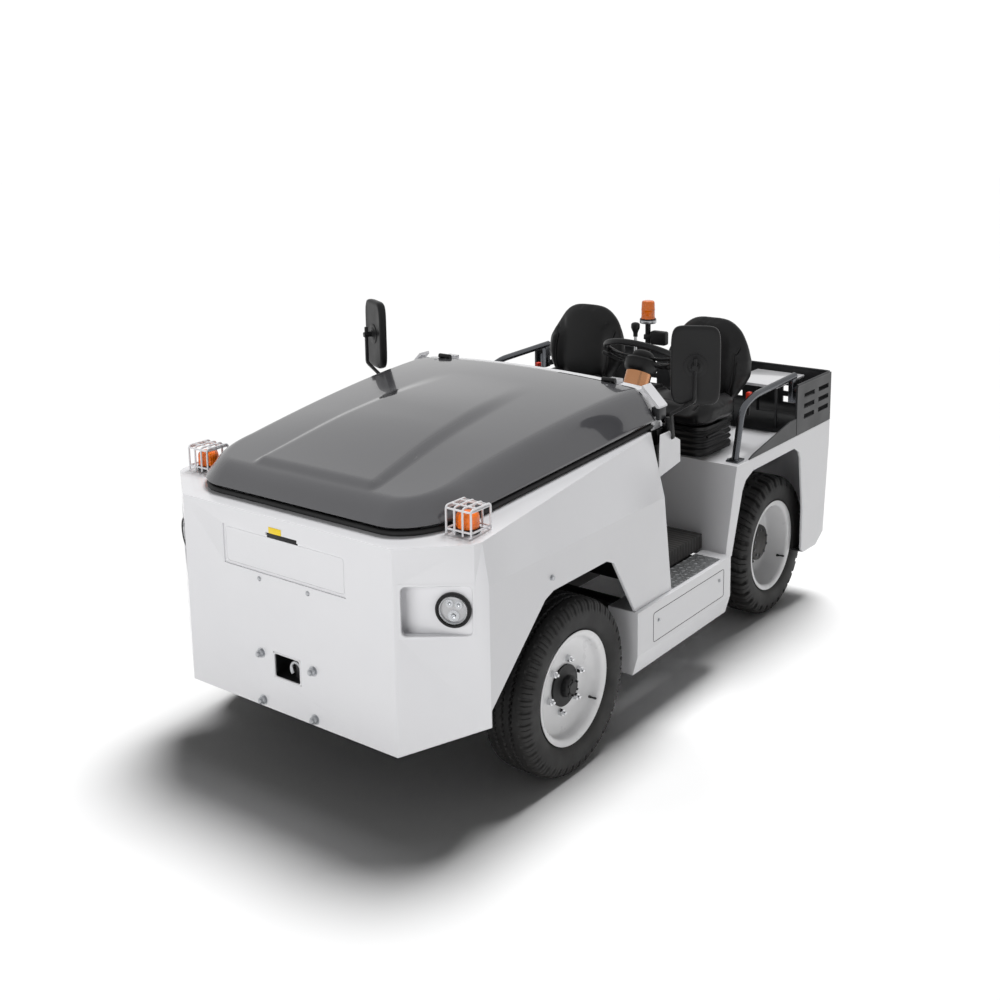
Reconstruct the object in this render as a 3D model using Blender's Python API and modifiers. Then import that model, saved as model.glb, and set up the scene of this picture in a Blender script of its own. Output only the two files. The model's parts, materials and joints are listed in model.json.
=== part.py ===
"""Airport baggage tug: a low electric tow tractor with a long front hood.

The front of the tug faces -Y, its left side is +X and +Z is up. The origin
is on the ground below the middle of the tug. All sizes are in metres.
"""
import math

import bmesh
import bpy
from mathutils import Matrix, Vector

# ---------------------------------------------------------------- clearances
TOUCH = 0.0003          # between pieces that rest on each other
MOVE = 0.006            # between a moving piece and a fixed one
BEARING = 0.0005        # between a spindle and the hub it carries
SHEET = 0.012           # thickness of the painted body plates

# ------------------------------------------------------------- wheels
TYRE_R = 0.328
TYRE_WIDTH = 0.196
RIM_LIP_R = 0.2135
RIM_WIDTH = 0.170
RIM_SHEET = 0.008
FRONT_AXLE_Y = -0.850
REAR_AXLE_Y = 0.915
FRONT_WHEEL_X = 0.668
REAR_WHEEL_X = 0.592
KINGPIN_X = 0.585
FRONT_DISC = 0.030      # outward offset of the wheel disc
REAR_DISC = -0.050
HUB_HOLE_R = 0.058
FRONT_HUB_R = 0.040
REAR_HUB_R = 0.085
STEER_DEG = 32.0
SPINDLE_R = 0.026
FRONT_HUB_OUT = 0.045   # how far a hub cap stands out of the wheel disc
REAR_HUB_OUT = 0.075
DRUM_R = 0.130
KINGPIN_HALF = 0.080    # half height of the kingpin boss
FORK_ARM = 0.025        # thickness of a fork arm above or below the boss

# ------------------------------------------------------------ front body
FRONT_Y = -1.540
FRONT_HALF = 0.512      # half width of the flat front face
BODY_HALF = 0.760       # half width of the body sides
CHAMFER_Y = -1.351      # where a front chamfer meets the side
FRONT_BOTTOM = 0.286
CHAMFER_BOTTOM = 0.389  # bottom edge of a chamfer at the side
CREASE_Z = 0.885        # fold along the body side
DECK_FRONT_Z = 1.013    # top deck at the front face
DECK_REAR_Z = 1.117     # top deck at its rear end
DECK_REAR_Y = -0.168
SHOULDER_FRONT = 0.734  # half width of the top deck at the chamfer
SHOULDER_REAR = 0.660
BODY_REAR_LOW_Y = -0.174
BODY_REAR_MID_Y = -0.234

# front wheel arch, side view corners (y, z)
ARCH_ABOVE_TYRE = 0.094
ARCH_TOP = 2 * TYRE_R + ARCH_ABOVE_TYRE
ARCH_FRONT_Y = -1.347
ARCH_FRONT_Z = 0.448
ARCH_TOP_FRONT_Y = -1.010
ARCH_TOP_REAR_Y = -0.630
STEP_BEHIND_TYRE = 0.067  # from the front tyre back to the step
SILL_FRONT_Y = FRONT_AXLE_Y + TYRE_R + STEP_BEHIND_TYRE
ARCH_REAR_Y = SILL_FRONT_Y + 0.008

# nose features
PANEL_HALF = 0.300
PANEL_BOTTOM = 0.795
PANEL_TOP = 0.942
PANEL_DEPTH = 0.005
SLOT_HALF = 0.076
SLOT_BOTTOM = 0.932
SLOT_TOP = 0.953
POCKET_HALF = 0.068
POCKET_BOTTOM = 0.415
POCKET_TOP = 0.512
POCKET_DEPTH = 0.120
LAMP_POCKET_START = 0.018   # along the chamfer from the front corner
LAMP_POCKET_LENGTH = 0.244
LAMP_POCKET_BOTTOM = 0.708
LAMP_POCKET_TOP = 0.890
LAMP_POCKET_DEPTH = 0.055
HEADLAMP_R = 0.060
HEADLAMP_FROM_END = 0.067

# ---------------------------------------------------------------------- hood
HOOD_FRONT_Y = -1.470
HOOD_REAR_Y = -0.122
HOOD_FRONT_HALF = 0.395
HOOD_MID_Y = -1.180
HOOD_MID_HALF = 0.598
HOOD_REAR_HALF = 0.642
HOOD_CREASE_IN = 0.082  # how far the upper crease lies inside the edge
HOOD_CREASE_FRONT_Z = 1.105
HOOD_CREASE_REAR_Z = 1.262
HOOD_NOSE_RUN = 0.070   # run of the front face back to the crease
HOOD_CROWN = 0.022
HOOD_BULGE = 0.016
HOOD_BULGE_FRONT = 0.290
HOOD_BULGE_REAR = 0.190
HOOD_THICK = 0.010
SEAL_R = 0.010
HOOD_OPEN_DEG = 55.0
HINGE_X = 0.430
HINGE_Y = -0.098
HINGE_R = 0.011

# ------------------------------------------------------------- chassis
RAIL_INNER = 0.240
RAIL_OUTER = 0.340
RAIL_ABOVE_AXLE = 0.084
RAIL_HEIGHT = 0.093
RAIL_BOTTOM = TYRE_R + RAIL_ABOVE_AXLE
RAIL_TOP = RAIL_BOTTOM + RAIL_HEIGHT
CROSS_SIZE = 0.070
BATTERY_HALF = 0.350
BATTERY_FRONT_Y = -1.340
BATTERY_REAR_Y = -0.300
BATTERY_TOP = 0.960

# ------------------------------------------------------------- cabin
SILL_OUTER = 0.777
SILL_INNER = 0.640
SILL_REAR_Y = 0.304
SILL_TOP = RAIL_TOP - 0.020
SILL_BEND_Z = 0.305
SILL_BOTTOM = 0.224
SILL_LIP_X = 0.7545
FLOOR_TOP = RAIL_TOP + 0.047
FLOOR_HALF = 0.632
FLOOR_THICK = 0.010
FIREWALL_Y = -0.246
FIREWALL_THICK = 0.012
DASH_REAR_Y = -0.045
DASH_HALF = 0.640
DASH_TOP = 1.115
COWL_THICK = 0.070
DRIVER_X = 0.385
PASSENGER_X = -0.290

STEER_WHEEL_R = 0.165
STEER_RIM_R = 0.013
STEER_WHEEL_Y = 0.228
STEER_WHEEL_Z = 1.330
STEER_TILT_DEG = 28.0   # lean of the steering axis from the vertical
STEER_TURNS_DEG = 540.0
COLUMN_R = 0.038
COLUMN_LENGTH = 0.334

SEAT_HALF = 0.235
SEAT_FRONT_Y = 0.365
SEAT_DEPTH = 0.360
SEAT_BASE_BEHIND = 0.020  # how far the base reaches behind the cushion
SEAT_CUSHION_Z = 0.985
SEAT_CUSHION_THICK = 0.110
SEAT_BASE_HALF = 0.190
SEAT_BACK_HALF = 0.215
SEAT_BACK_HEIGHT = 0.425
SEAT_BACK_THICK = 0.095
SEAT_BACK_LEAN_DEG = 10.0

# --------------------------------------------------------------- rear body
REAR_HALF = 0.746
REAR_Y = 1.380
REAR_DECK = 0.850
REAR_WALL_LOW_Y = 0.310
REAR_WALL_TOP_Y = 0.405
REAR_WALL_FOOT_Z = 0.455
REAR_ARCH_TOP = 0.792
TAIL_BEND_Z = 0.740       # the rear wall leans in below this height
TAIL_FOOT_Y = REAR_Y - 0.040
TAIL_FOOT_Z = 0.290
TAIL_LIP_Z = 0.243         # lowest edge of the tail
TAIL_LIP_Y = REAR_AXLE_Y + TYRE_R + 0.011   # its front edge, behind the rear tyre
TAIL_SIDE_Y = 1.085        # front edge of the tail's side plates
TRAY_FRONT_Y = 1.000
TRAY_TOP = 1.085
TRAY_WALL = 0.010
RAIL_TUBE_R = 0.0155
HANDRAIL_X = 0.700
HANDRAIL_TOP = 1.108
HANDRAIL_FOOT_Y = 0.475
HANDRAIL_LUG_Z = 1.000     # lowest point of the lug on the tray
LOUVRE_ROWS = (0.915, 0.965, 1.015)
LOUVRE_STARTS = (0.075, 0.235)   # behind the tray's front end
LOUVRE_LENGTH = 0.115
LOUVRE_HEIGHT = 0.022
SLOT_ROWS = (0.905, 0.960, 1.015)
SLOT_STARTS = (-0.56, -0.28, 0.22, 0.50)
SLOT_SIZE = (0.060, 0.030)
COUPLER_REACH_Y = REAR_Y + 0.160
COUPLER_Z = 0.430

CORNER_LAMP_R = 0.040
CORNER_LAMP_X = 0.640
CORNER_LAMP_Y = -1.305
CORNER_LAMP_H = 0.070
LEVER_X = 0.104
LEVER_Y = 0.630
LEVER_CONSOLE_H = 0.090
LEVER_KNOB_Z = 1.314
LEVER_TOP = 1.382
BEACON_X = 0.034
BEACON_Y = 0.850
BEACON_R = 0.033
BEACON_TOP = 1.445
BEACON_LENS_H = 0.087
MIRROR_X = 0.830
MIRROR_Y = -0.130
MIRROR_Z = 1.400
MIRROR_DROP = 0.048      # how much lower the passenger's mirror is set
MIRROR_W = 0.190
MIRROR_H = 0.310
MIRROR_THICK = 0.036
MIRROR_TURN_DEG = 27.0
MIRROR_TUBE_R = 0.008

SIDES = (("left", 1.0), ("right", -1.0))
ROUND = 28              # segments of a large round piece

for old in list(bpy.data.objects):
    bpy.data.objects.remove(old, do_unlink=True)

PARTS = bpy.data.collections.new("airport_baggage_tug")
CUTTERS = bpy.data.collections.new("cutters")
bpy.context.scene.collection.children.link(PARTS)
bpy.context.scene.collection.children.link(CUTTERS)


# --------------------------------------------------------------- materials
def paint(name, colour, roughness, metallic=0.0):
    """A Principled BSDF material; colour is a linear RGB triple."""
    material = bpy.data.materials.new(name)
    material.use_nodes = True
    shader = material.node_tree.nodes["Principled BSDF"]
    shader.inputs["Base Color"].default_value = (*colour, 1.0)
    shader.inputs["Roughness"].default_value = roughness
    shader.inputs["Metallic"].default_value = metallic
    return material


WHITE = ((0.78, 0.78, 0.78), 0.25, 0.0)
HOOD_GREY = ((0.075, 0.075, 0.078), 0.12, 0.2)
CHARCOAL = ((0.035, 0.036, 0.038), 0.45, 0.0)
BLACK = ((0.012, 0.012, 0.013), 0.50, 0.0)
RUBBER = ((0.015, 0.015, 0.015), 0.85, 0.0)
STEEL = ((0.42, 0.43, 0.45), 0.35, 0.9)
COPPER = ((0.60, 0.28, 0.14), 0.35, 0.8)
LEATHER = ((0.018, 0.018, 0.019), 0.48, 0.0)
AMBER = ((0.90, 0.25, 0.01), 0.20, 0.0)
UNDERBODY = ((0.05, 0.05, 0.052), 0.65, 0.2)
CASING = ((0.10, 0.11, 0.12), 0.55, 0.1)


# ---------------------------------------------------------------- helpers
def add_mesh(name, bm, look=None, cutter=False):
    """Turns a bmesh into an object in the parts or the cutters collection."""
    bmesh.ops.recalc_face_normals(bm, faces=bm.faces)
    mesh = bpy.data.meshes.new(name)
    bm.to_mesh(mesh)
    bm.free()
    obj = bpy.data.objects.new(name, mesh)
    (CUTTERS if cutter else PARTS).objects.link(obj)
    if cutter:
        hide(obj)
    if look is not None:
        mesh.materials.append(paint(name + "_finish", *look))
    return obj


def hide(obj):
    """Marks an object as a cutter: never rendered, drawn as a wire."""
    obj.hide_render = True
    obj.display_type = "WIRE"


def block(name, low, high, look=None, cutter=False):
    """An axis-aligned box between two opposite corners."""
    bm = bmesh.new()
    bmesh.ops.create_cube(bm, size=1.0)
    low, high = Vector(low), Vector(high)
    size = high - low
    bmesh.ops.scale(bm, vec=size, verts=bm.verts)
    bmesh.ops.translate(bm, vec=(low + high) / 2, verts=bm.verts)
    return add_mesh(name, bm, look, cutter)


def rod(name, start, end, radius, look=None, cutter=False, sides=24, radius_end=None):
    """A round bar or cone from start to end."""
    start, end = Vector(start), Vector(end)
    along = end - start
    bm = bmesh.new()
    bmesh.ops.create_cone(
        bm, cap_ends=True, segments=sides, radius1=radius,
        radius2=radius if radius_end is None else radius_end,
        depth=along.length)
    turn = along.to_track_quat("Z", "Y").to_matrix().to_4x4()
    bmesh.ops.transform(
        bm, matrix=Matrix.Translation((start + end) / 2) @ turn, verts=bm.verts)
    return add_mesh(name, bm, look, cutter)


def prism(name, corners, axis, low, high, look=None, cutter=False):
    """A flat outline swept along X, Y or Z from low to high.

    corners are (y, z) for axis X, (x, z) for axis Y and (x, y) for axis Z.
    """
    curve = bpy.data.curves.new(name + "_outline", "CURVE")
    curve.dimensions = "2D"
    curve.fill_mode = "BOTH"
    curve.extrude = (high - low) / 2
    spline = curve.splines.new("POLY")
    spline.points.add(len(corners) - 1)
    for point, corner in zip(spline.points, corners):
        point.co = (corner[0], corner[1], 0.0, 1.0)
    spline.use_cyclic_u = True
    middle = (low + high) / 2
    if axis == "X":
        turn = Matrix(((0, 0, 1, middle), (1, 0, 0, 0), (0, 1, 0, 0), (0, 0, 0, 1)))
    elif axis == "Y":
        turn = Matrix(((1, 0, 0, 0), (0, 0, -1, middle), (0, 1, 0, 0), (0, 0, 0, 1)))
    else:
        turn = Matrix.Translation((0, 0, middle))
    return solid_from_curve(name, curve, turn, look, cutter)


def solid_from_curve(name, curve, placing, look=None, cutter=False):
    """Makes a closed mesh from a curve, with its caps welded on."""
    guide = bpy.data.objects.new(name + "_guide", curve)
    bpy.context.scene.collection.objects.link(guide)
    bpy.context.view_layer.update()
    graph = bpy.context.evaluated_depsgraph_get()
    mesh = bpy.data.meshes.new_from_object(guide.evaluated_get(graph))
    bm = bmesh.new()
    bm.from_mesh(mesh)
    bmesh.ops.remove_doubles(bm, verts=bm.verts, dist=0.00001)
    bmesh.ops.transform(bm, matrix=placing, verts=bm.verts)
    bpy.data.objects.remove(guide, do_unlink=True)
    bpy.data.meshes.remove(mesh)
    return add_mesh(name, bm, look, cutter)


def tube(name, points, radius, look=None, cyclic=False, cutter=False, detail=2):
    """A round tube through the points, with filled ends."""
    curve = bpy.data.curves.new(name + "_path", "CURVE")
    curve.dimensions = "3D"
    curve.bevel_depth = radius
    curve.bevel_resolution = detail
    curve.use_fill_caps = not cyclic
    spline = curve.splines.new("POLY")
    spline.points.add(len(points) - 1)
    for point, place in zip(spline.points, points):
        point.co = (*place, 1.0)
    spline.use_cyclic_u = cyclic
    return solid_from_curve(name, curve, Matrix.Identity(4), look, cutter)


def bend(points, radius, steps=4):
    """Rounds the inner corners of a chain of points with arcs."""
    smooth = [Vector(points[0])]
    for before, corner, after in zip(points, points[1:], points[2:]):
        corner = Vector(corner)
        back = (Vector(before) - corner).normalized()
        forth = (Vector(after) - corner).normalized()
        half = back.angle(forth) / 2
        reach = radius / math.tan(half)
        start = corner + back * reach
        stop = corner + forth * reach
        for step in range(steps + 1):
            t = step / steps
            smooth.append(start.lerp(corner, t).lerp(corner.lerp(stop, t), t))
    smooth.append(Vector(points[-1]))
    return smooth


def turned(name, profile, place, look, out=1.0, ring=True):
    """A profile of (radius, along) spun about an axis parallel to X.

    out is +1 for a piece whose outer side faces +X and -1 for -X. With ring
    the profile closes on itself; without it, it runs from axis to axis.
    """
    mesh = bpy.data.meshes.new(name)
    bm = bmesh.new()
    line = [bm.verts.new((radius, 0.0, along)) for radius, along in profile]
    ends = line[1:] + (line[:1] if ring else [])
    for one, other in zip(line, ends):
        bm.edges.new((one, other))
    bm.to_mesh(mesh)
    bm.free()
    obj = bpy.data.objects.new(name, mesh)
    PARTS.objects.link(obj)
    mesh.materials.append(paint(name + "_finish", *look))
    screw = obj.modifiers.new("spin", "SCREW")
    screw.angle = math.tau
    screw.steps = ROUND
    screw.render_steps = ROUND
    screw.use_merge_vertices = True
    screw.merge_threshold = 0.0001
    obj.location = place
    obj.rotation_euler = (0.0, out * math.pi / 2, 0.0)
    return smooth(obj)


def boolean(obj, other, operation):
    """Adds a Boolean modifier; a piece used as the tool becomes a cutter."""
    modifier = obj.modifiers.new(operation.lower(), "BOOLEAN")
    modifier.operation = operation
    modifier.object = other
    modifier.solver = "EXACT"
    if other.name in PARTS.objects:
        PARTS.objects.unlink(other)
        CUTTERS.objects.link(other)
        hide(other)
    return obj


def cut(obj, *tools):
    for tool in tools:
        boolean(obj, tool, "DIFFERENCE")
    return obj


def fuse(obj, *others):
    for other in others:
        boolean(obj, other, "UNION")
    return obj


def round_edges(obj, width, segments=2, angle=30.0):
    """A bevel on the sharp edges of a piece."""
    modifier = obj.modifiers.new("edge", "BEVEL")
    modifier.width = width
    modifier.segments = segments
    modifier.limit_method = "ANGLE"
    modifier.angle_limit = math.radians(angle)
    return obj


def smooth(obj, angle=35.0):
    obj.data.shade_smooth()
    obj.data.set_sharp_from_angle(angle=math.radians(angle))
    return obj


def turn_about(obj, centre, axis, degrees):
    """Turns the mesh of an object about a line through centre."""
    centre = Vector(centre)
    matrix = (Matrix.Translation(centre)
              @ Matrix.Rotation(math.radians(degrees), 4, axis)
              @ Matrix.Translation(-centre))
    obj.data.transform(matrix)
    return obj


def mix(a, b, t):
    return a + (b - a) * t


def ramp(t):
    """A smooth step from 0 to 1."""
    t = max(0.0, min(1.0, t))
    return t * t * (3.0 - 2.0 * t)


# ---------------------------------------------------------------- body shape
def tail_y(z):
    """Where the tail's rear wall stands at height z below its bend."""
    return mix(TAIL_FOOT_Y, REAR_Y, (z - TAIL_FOOT_Z) / (TAIL_BEND_Z - TAIL_FOOT_Z))


def rear_wall_y(z):
    """Where the leaning wall behind the leg space stands at height z."""
    t = (z - REAR_WALL_FOOT_Z) / (REAR_DECK - REAR_WALL_FOOT_Z)
    return mix(REAR_WALL_LOW_Y, REAR_WALL_TOP_Y, t)


SIDE_BOTTOM = SILL_TOP + TOUCH    # the body sides stand on the steps
CHAMFER_RUN = CHAMFER_Y - FRONT_Y
CHAMFER_SLOPE = (BODY_HALF - FRONT_HALF) / CHAMFER_RUN
CHAMFER_LENGTH = math.hypot(BODY_HALF - FRONT_HALF, CHAMFER_RUN)
DECK_SLOPE = (DECK_REAR_Z - DECK_FRONT_Z) / (DECK_REAR_Y - FRONT_Y)


def deck_z(y):
    """Height of the sloping top deck of the front body."""
    return DECK_FRONT_Z + DECK_SLOPE * (y - FRONT_Y)


def chamfer_x(y, inset=0.0):
    """Half width allowed by the front chamfer at y."""
    return (FRONT_HALF + (y - FRONT_Y) * CHAMFER_SLOPE
            - inset * math.hypot(1.0, CHAMFER_SLOPE))


def shoulder_x(y):
    """Half width of the top deck behind the chamfer."""
    t = (y - CHAMFER_Y) / (DECK_REAR_Y - CHAMFER_Y)
    return mix(SHOULDER_FRONT, SHOULDER_REAR, t)


def front_form(name, inset, bottom, rear):
    """The closed outer form of the front body, moved inwards by inset.

    Six-sided sections are lofted along Y: vertical sides up to the crease,
    then panels that lean in more and more towards the rear, under a deck.
    """
    first = FRONT_Y + inset
    corner = CHAMFER_Y + inset * 0.4
    stations = [first, mix(first, corner, 0.85), corner]
    stations += [mix(corner, rear, step / 8) for step in range(1, 9)]
    bm = bmesh.new()
    rings = []
    for y in stations:
        low = min(BODY_HALF - inset, chamfer_x(y, inset))
        top = min(shoulder_x(y) - inset * 1.25, chamfer_x(y, inset))
        crease = CREASE_Z - inset * 0.2
        deck = deck_z(y) - inset
        section = ((-low, bottom), (low, bottom), (low, crease),
                   (top, deck), (-top, deck), (-low, crease))
        rings.append([bm.verts.new((x, y, z)) for x, z in section])
    for ring, following in zip(rings, rings[1:]):
        for i in range(6):
            j = (i + 1) % 6
            bm.faces.new((ring[i], ring[j], following[j], following[i]))
    bm.faces.new(rings[0])
    bm.faces.new(list(reversed(rings[-1])))
    return add_mesh(name, bm, cutter=True)


def hood_half(y):
    """Half width of the hood's lower edge at y."""
    if y < HOOD_MID_Y:
        t = (HOOD_MID_Y - y) / (HOOD_MID_Y - HOOD_FRONT_Y)
        bulge = math.sqrt(max(0.0, 1.0 - t * t))
        return mix(HOOD_FRONT_HALF, HOOD_MID_HALF, bulge)
    t = (y - HOOD_MID_Y) / (HOOD_REAR_Y - HOOD_MID_Y)
    return mix(HOOD_MID_HALF, HOOD_REAR_HALF, t)


def hood_edge_z(y):
    """Height of the hood's lower edge, which rests on the seal."""
    return deck_z(y) + 2 * SEAL_R + HOOD_THICK * 0.76


def hood_crease_z(y):
    t = max(0.0, HOOD_REAR_Y - y) / (HOOD_REAR_Y - HOOD_FRONT_Y)
    return HOOD_CREASE_REAR_Z - (HOOD_CREASE_REAR_Z - HOOD_CREASE_FRONT_Z) * t ** 1.6


def hood_z(x, y):
    """Height of the hood's outer surface."""
    edge = hood_half(y)
    inside = (edge - abs(x)) / HOOD_CREASE_IN
    behind = (y - HOOD_FRONT_Y) / HOOD_NOSE_RUN
    rise = max(0.0, min(1.0, inside, behind))
    low = hood_edge_z(y)
    height = mix(low, hood_crease_z(y), rise)
    across = max(0.0, 1.0 - (abs(x) / (edge - HOOD_CREASE_IN)) ** 2)
    along = ramp((y - HOOD_FRONT_Y - HOOD_NOSE_RUN) / 0.5)
    height += HOOD_CROWN * across * along
    t = (y - HOOD_FRONT_Y) / (HOOD_REAR_Y - HOOD_FRONT_Y)
    bulge_half = mix(HOOD_BULGE_FRONT, HOOD_BULGE_REAR, t)
    side = ramp((bulge_half - abs(x)) / 0.05)
    front = ramp((y - HOOD_FRONT_Y - HOOD_NOSE_RUN - 0.01) / 0.06)
    fade = 1.0 - ramp((t - 0.55) / 0.35)
    return height + HOOD_BULGE * side * front * fade


def front_body():
    """White front body: plates 12 mm thick, open below and under the hood."""
    outer = front_form("front_body", 0.0, FRONT_BOTTOM, DECK_REAR_Y + 0.02)
    inner = front_form("front_body_hollow", SHEET, 0.0, DECK_REAR_Y + 0.10)
    CUTTERS.objects.unlink(outer)
    PARTS.objects.link(outer)
    outer.hide_render = False
    outer.display_type = "TEXTURED"
    outer.data.materials.append(paint("front_body_finish", *WHITE))
    cut(outer, inner)
    arch = prism("front_arch_cut", [
        (ARCH_FRONT_Y, 0.10), (ARCH_FRONT_Y, ARCH_FRONT_Z),
        (ARCH_TOP_FRONT_Y - 0.03, ARCH_TOP - 0.018),
        (ARCH_TOP_FRONT_Y + 0.02, ARCH_TOP),
        (ARCH_TOP_REAR_Y - 0.02, ARCH_TOP),
        (ARCH_TOP_REAR_Y + 0.03, ARCH_TOP - 0.022),
        (ARCH_REAR_Y, SIDE_BOTTOM), (0.2, SIDE_BOTTOM), (0.2, 0.10),
    ], "X", -1.0, 1.0, cutter=True)
    tail = prism("front_body_tail_cut", [
        (BODY_REAR_LOW_Y, 0.1), (BODY_REAR_LOW_Y, SIDE_BOTTOM - 0.001),
        (BODY_REAR_MID_Y, CREASE_Z), (DECK_REAR_Y, DECK_REAR_Z + 0.02),
        (DECK_REAR_Y, 1.4), (0.3, 1.4), (0.3, 0.1),
    ], "X", -1.0, 1.0, cutter=True)
    cut(outer, arch, tail)
    for side, sign in SIDES:
        cut(outer, chamfer_foot_cut(side, sign))
    opening = hood_opening()
    cut(outer, opening)
    cut(outer, block("nose_panel_cut", (-PANEL_HALF, FRONT_Y - 0.02, PANEL_BOTTOM),
                     (PANEL_HALF, FRONT_Y + PANEL_DEPTH, PANEL_TOP), cutter=True))
    cut(outer, block("nose_slot_cut", (-SLOT_HALF, FRONT_Y - 0.02, SLOT_BOTTOM),
                     (SLOT_HALF, FRONT_Y + 0.05, SLOT_TOP), cutter=True))
    cut(outer, block("nose_pocket_cut", (-POCKET_HALF, FRONT_Y - 0.02, POCKET_BOTTOM),
                     (POCKET_HALF, FRONT_Y + 0.05, POCKET_TOP), cutter=True))
    for side, sign in SIDES:
        fuse(outer, lamp_box(side + "_lamp_pocket", sign, SHEET, 0.004))
    for side, sign in SIDES:
        cut(outer, lamp_box(side + "_lamp_pocket_cut", sign, 0.0, -0.03))
    return outer


def chamfer_foot_cut(side, sign):
    """Wedge under a chamfer, whose bottom edge climbs towards the side."""
    start = Vector((sign * FRONT_HALF, FRONT_Y, FRONT_BOTTOM))
    stop = Vector((sign * BODY_HALF, CHAMFER_Y, CHAMFER_BOTTOM))
    along = (stop - start)
    inwards = Vector((-sign * CHAMFER_RUN, BODY_HALF - FRONT_HALF, 0.0)).normalized()
    bm = bmesh.new()
    a = start - along * 0.0005
    b = start + along * 1.15
    low = Vector((0, 0, -0.4))
    near = -inwards * 0.1
    far = inwards * 0.08
    corners = [a + near, b + near, b + near + low, a + near + low,
               a + far, b + far, b + far + low, a + far + low]
    v = [bm.verts.new(p) for p in corners]
    for face in ((0, 1, 2, 3), (7, 6, 5, 4), (0, 4, 5, 1),
                 (1, 5, 6, 2), (2, 6, 7, 3), (3, 7, 4, 0)):
        bm.faces.new([v[i] for i in face])
    return add_mesh(side + "_chamfer_foot_cut", bm, cutter=True)


def chamfer_frame(sign):
    """Matrix whose X runs along the chamfer, Y inwards and Z up."""
    along = Vector((sign * (BODY_HALF - FRONT_HALF), CHAMFER_RUN, 0.0)).normalized()
    inwards = Vector((-sign * CHAMFER_RUN, BODY_HALF - FRONT_HALF, 0.0)).normalized()
    frame = Matrix.Identity(4)
    for row in range(3):
        frame[row][0] = along[row]
        frame[row][1] = inwards[row]
        frame[row][3] = (sign * FRONT_HALF, FRONT_Y, 0.0)[row]
    return frame


def lamp_box(name, sign, grow, start):
    """Box of a headlamp pocket in the chamfer, larger by grow all round."""
    bm = bmesh.new()
    bmesh.ops.create_cube(bm, size=1.0)
    low = Vector((LAMP_POCKET_START - grow, start, LAMP_POCKET_BOTTOM - grow))
    high = Vector((LAMP_POCKET_START + LAMP_POCKET_LENGTH + grow,
                   LAMP_POCKET_DEPTH + grow, LAMP_POCKET_TOP + grow))
    bmesh.ops.scale(bm, vec=high - low, verts=bm.verts)
    bmesh.ops.translate(bm, vec=(low + high) / 2, verts=bm.verts)
    bmesh.ops.transform(bm, matrix=chamfer_frame(sign), verts=bm.verts)
    return add_mesh(name, bm, cutter=True)


def hood_outline(inset, rear_y):
    """Plan points round the hood's lower edge, moved inwards by inset."""
    right = []
    count = 10
    for step in range(count + 1):
        y = mix(HOOD_FRONT_Y, HOOD_MID_Y, 1 - math.cos(step / count * math.pi / 2))
        right.append((hood_half(y), y))
    right.append((hood_half(rear_y), rear_y))
    moved = []
    for x, y in right:
        moved.append((x - inset, max(y, HOOD_FRONT_Y + inset)))
    return moved


def hood_opening():
    """Opening in the top deck below the hood."""
    right = hood_outline(0.030, DECK_REAR_Y + 0.2)
    left = [(-x, y) for x, y in reversed(right)]
    return prism("hood_opening_cut", right + left, "Z", 0.98, 1.30, cutter=True)


def hood():
    """Hood: one crowned panel with a raised middle and a leaning rim."""
    rows = [0.0, 0.25, 0.5, 0.75, 1.0]
    ys = [HOOD_FRONT_Y + HOOD_NOSE_RUN * t for t in rows]
    ys += [HOOD_FRONT_Y + HOOD_NOSE_RUN + 0.01, HOOD_FRONT_Y + HOOD_NOSE_RUN + 0.045,
           HOOD_FRONT_Y + HOOD_NOSE_RUN + 0.08]
    rest = 9
    start = ys[-1]
    ys += [mix(start, HOOD_REAR_Y, step / rest) for step in range(1, rest + 1)]
    bm = bmesh.new()
    grid = []
    for y in ys:
        edge = hood_half(y)
        crease = edge - HOOD_CREASE_IN
        t = (y - HOOD_FRONT_Y) / (HOOD_REAR_Y - HOOD_FRONT_Y)
        bulge = mix(HOOD_BULGE_FRONT, HOOD_BULGE_REAR, t)
        right = [0.0, (bulge - 0.05) * 0.55, bulge - 0.05, bulge - 0.025, bulge,
                 mix(bulge, crease, 0.5), crease, mix(crease, edge, 0.5), edge]
        xs = [-x for x in reversed(right[1:])] + right
        grid.append([bm.verts.new((x, y, hood_z(x, y))) for x in xs])
    for low, high in zip(grid, grid[1:]):
        for i in range(len(low) - 1):
            bm.faces.new((low[i], low[i + 1], high[i + 1], high[i]))
    obj = add_mesh("hood", bm, HOOD_GREY)
    flip_up(obj)
    shell = obj.modifiers.new("thickness", "SOLIDIFY")
    shell.thickness = HOOD_THICK
    shell.offset = -1.0
    smooth(obj)
    pivot = bpy.data.objects.new("hood_hinge_axis", None)
    PARTS.objects.link(pivot)
    pivot.location = (0.0, HINGE_Y, hood_hinge_z())
    attach(obj, pivot)
    return obj


def flip_up(obj):
    """Makes the faces of an open sheet look upwards."""
    bm = bmesh.new()
    bm.from_mesh(obj.data)
    total = sum(face.normal.z for face in bm.faces)
    if total < 0:
        bmesh.ops.reverse_faces(bm, faces=bm.faces)
    bm.to_mesh(obj.data)
    bm.free()


def attach(obj, pivot):
    """Parents an object to an empty without moving it."""
    bpy.context.view_layer.update()
    obj.parent = pivot
    obj.matrix_parent_inverse = pivot.matrix_world.inverted()


def hood_hinge_z():
    return hood_z(HINGE_X, HOOD_REAR_Y) + 0.012


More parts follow.
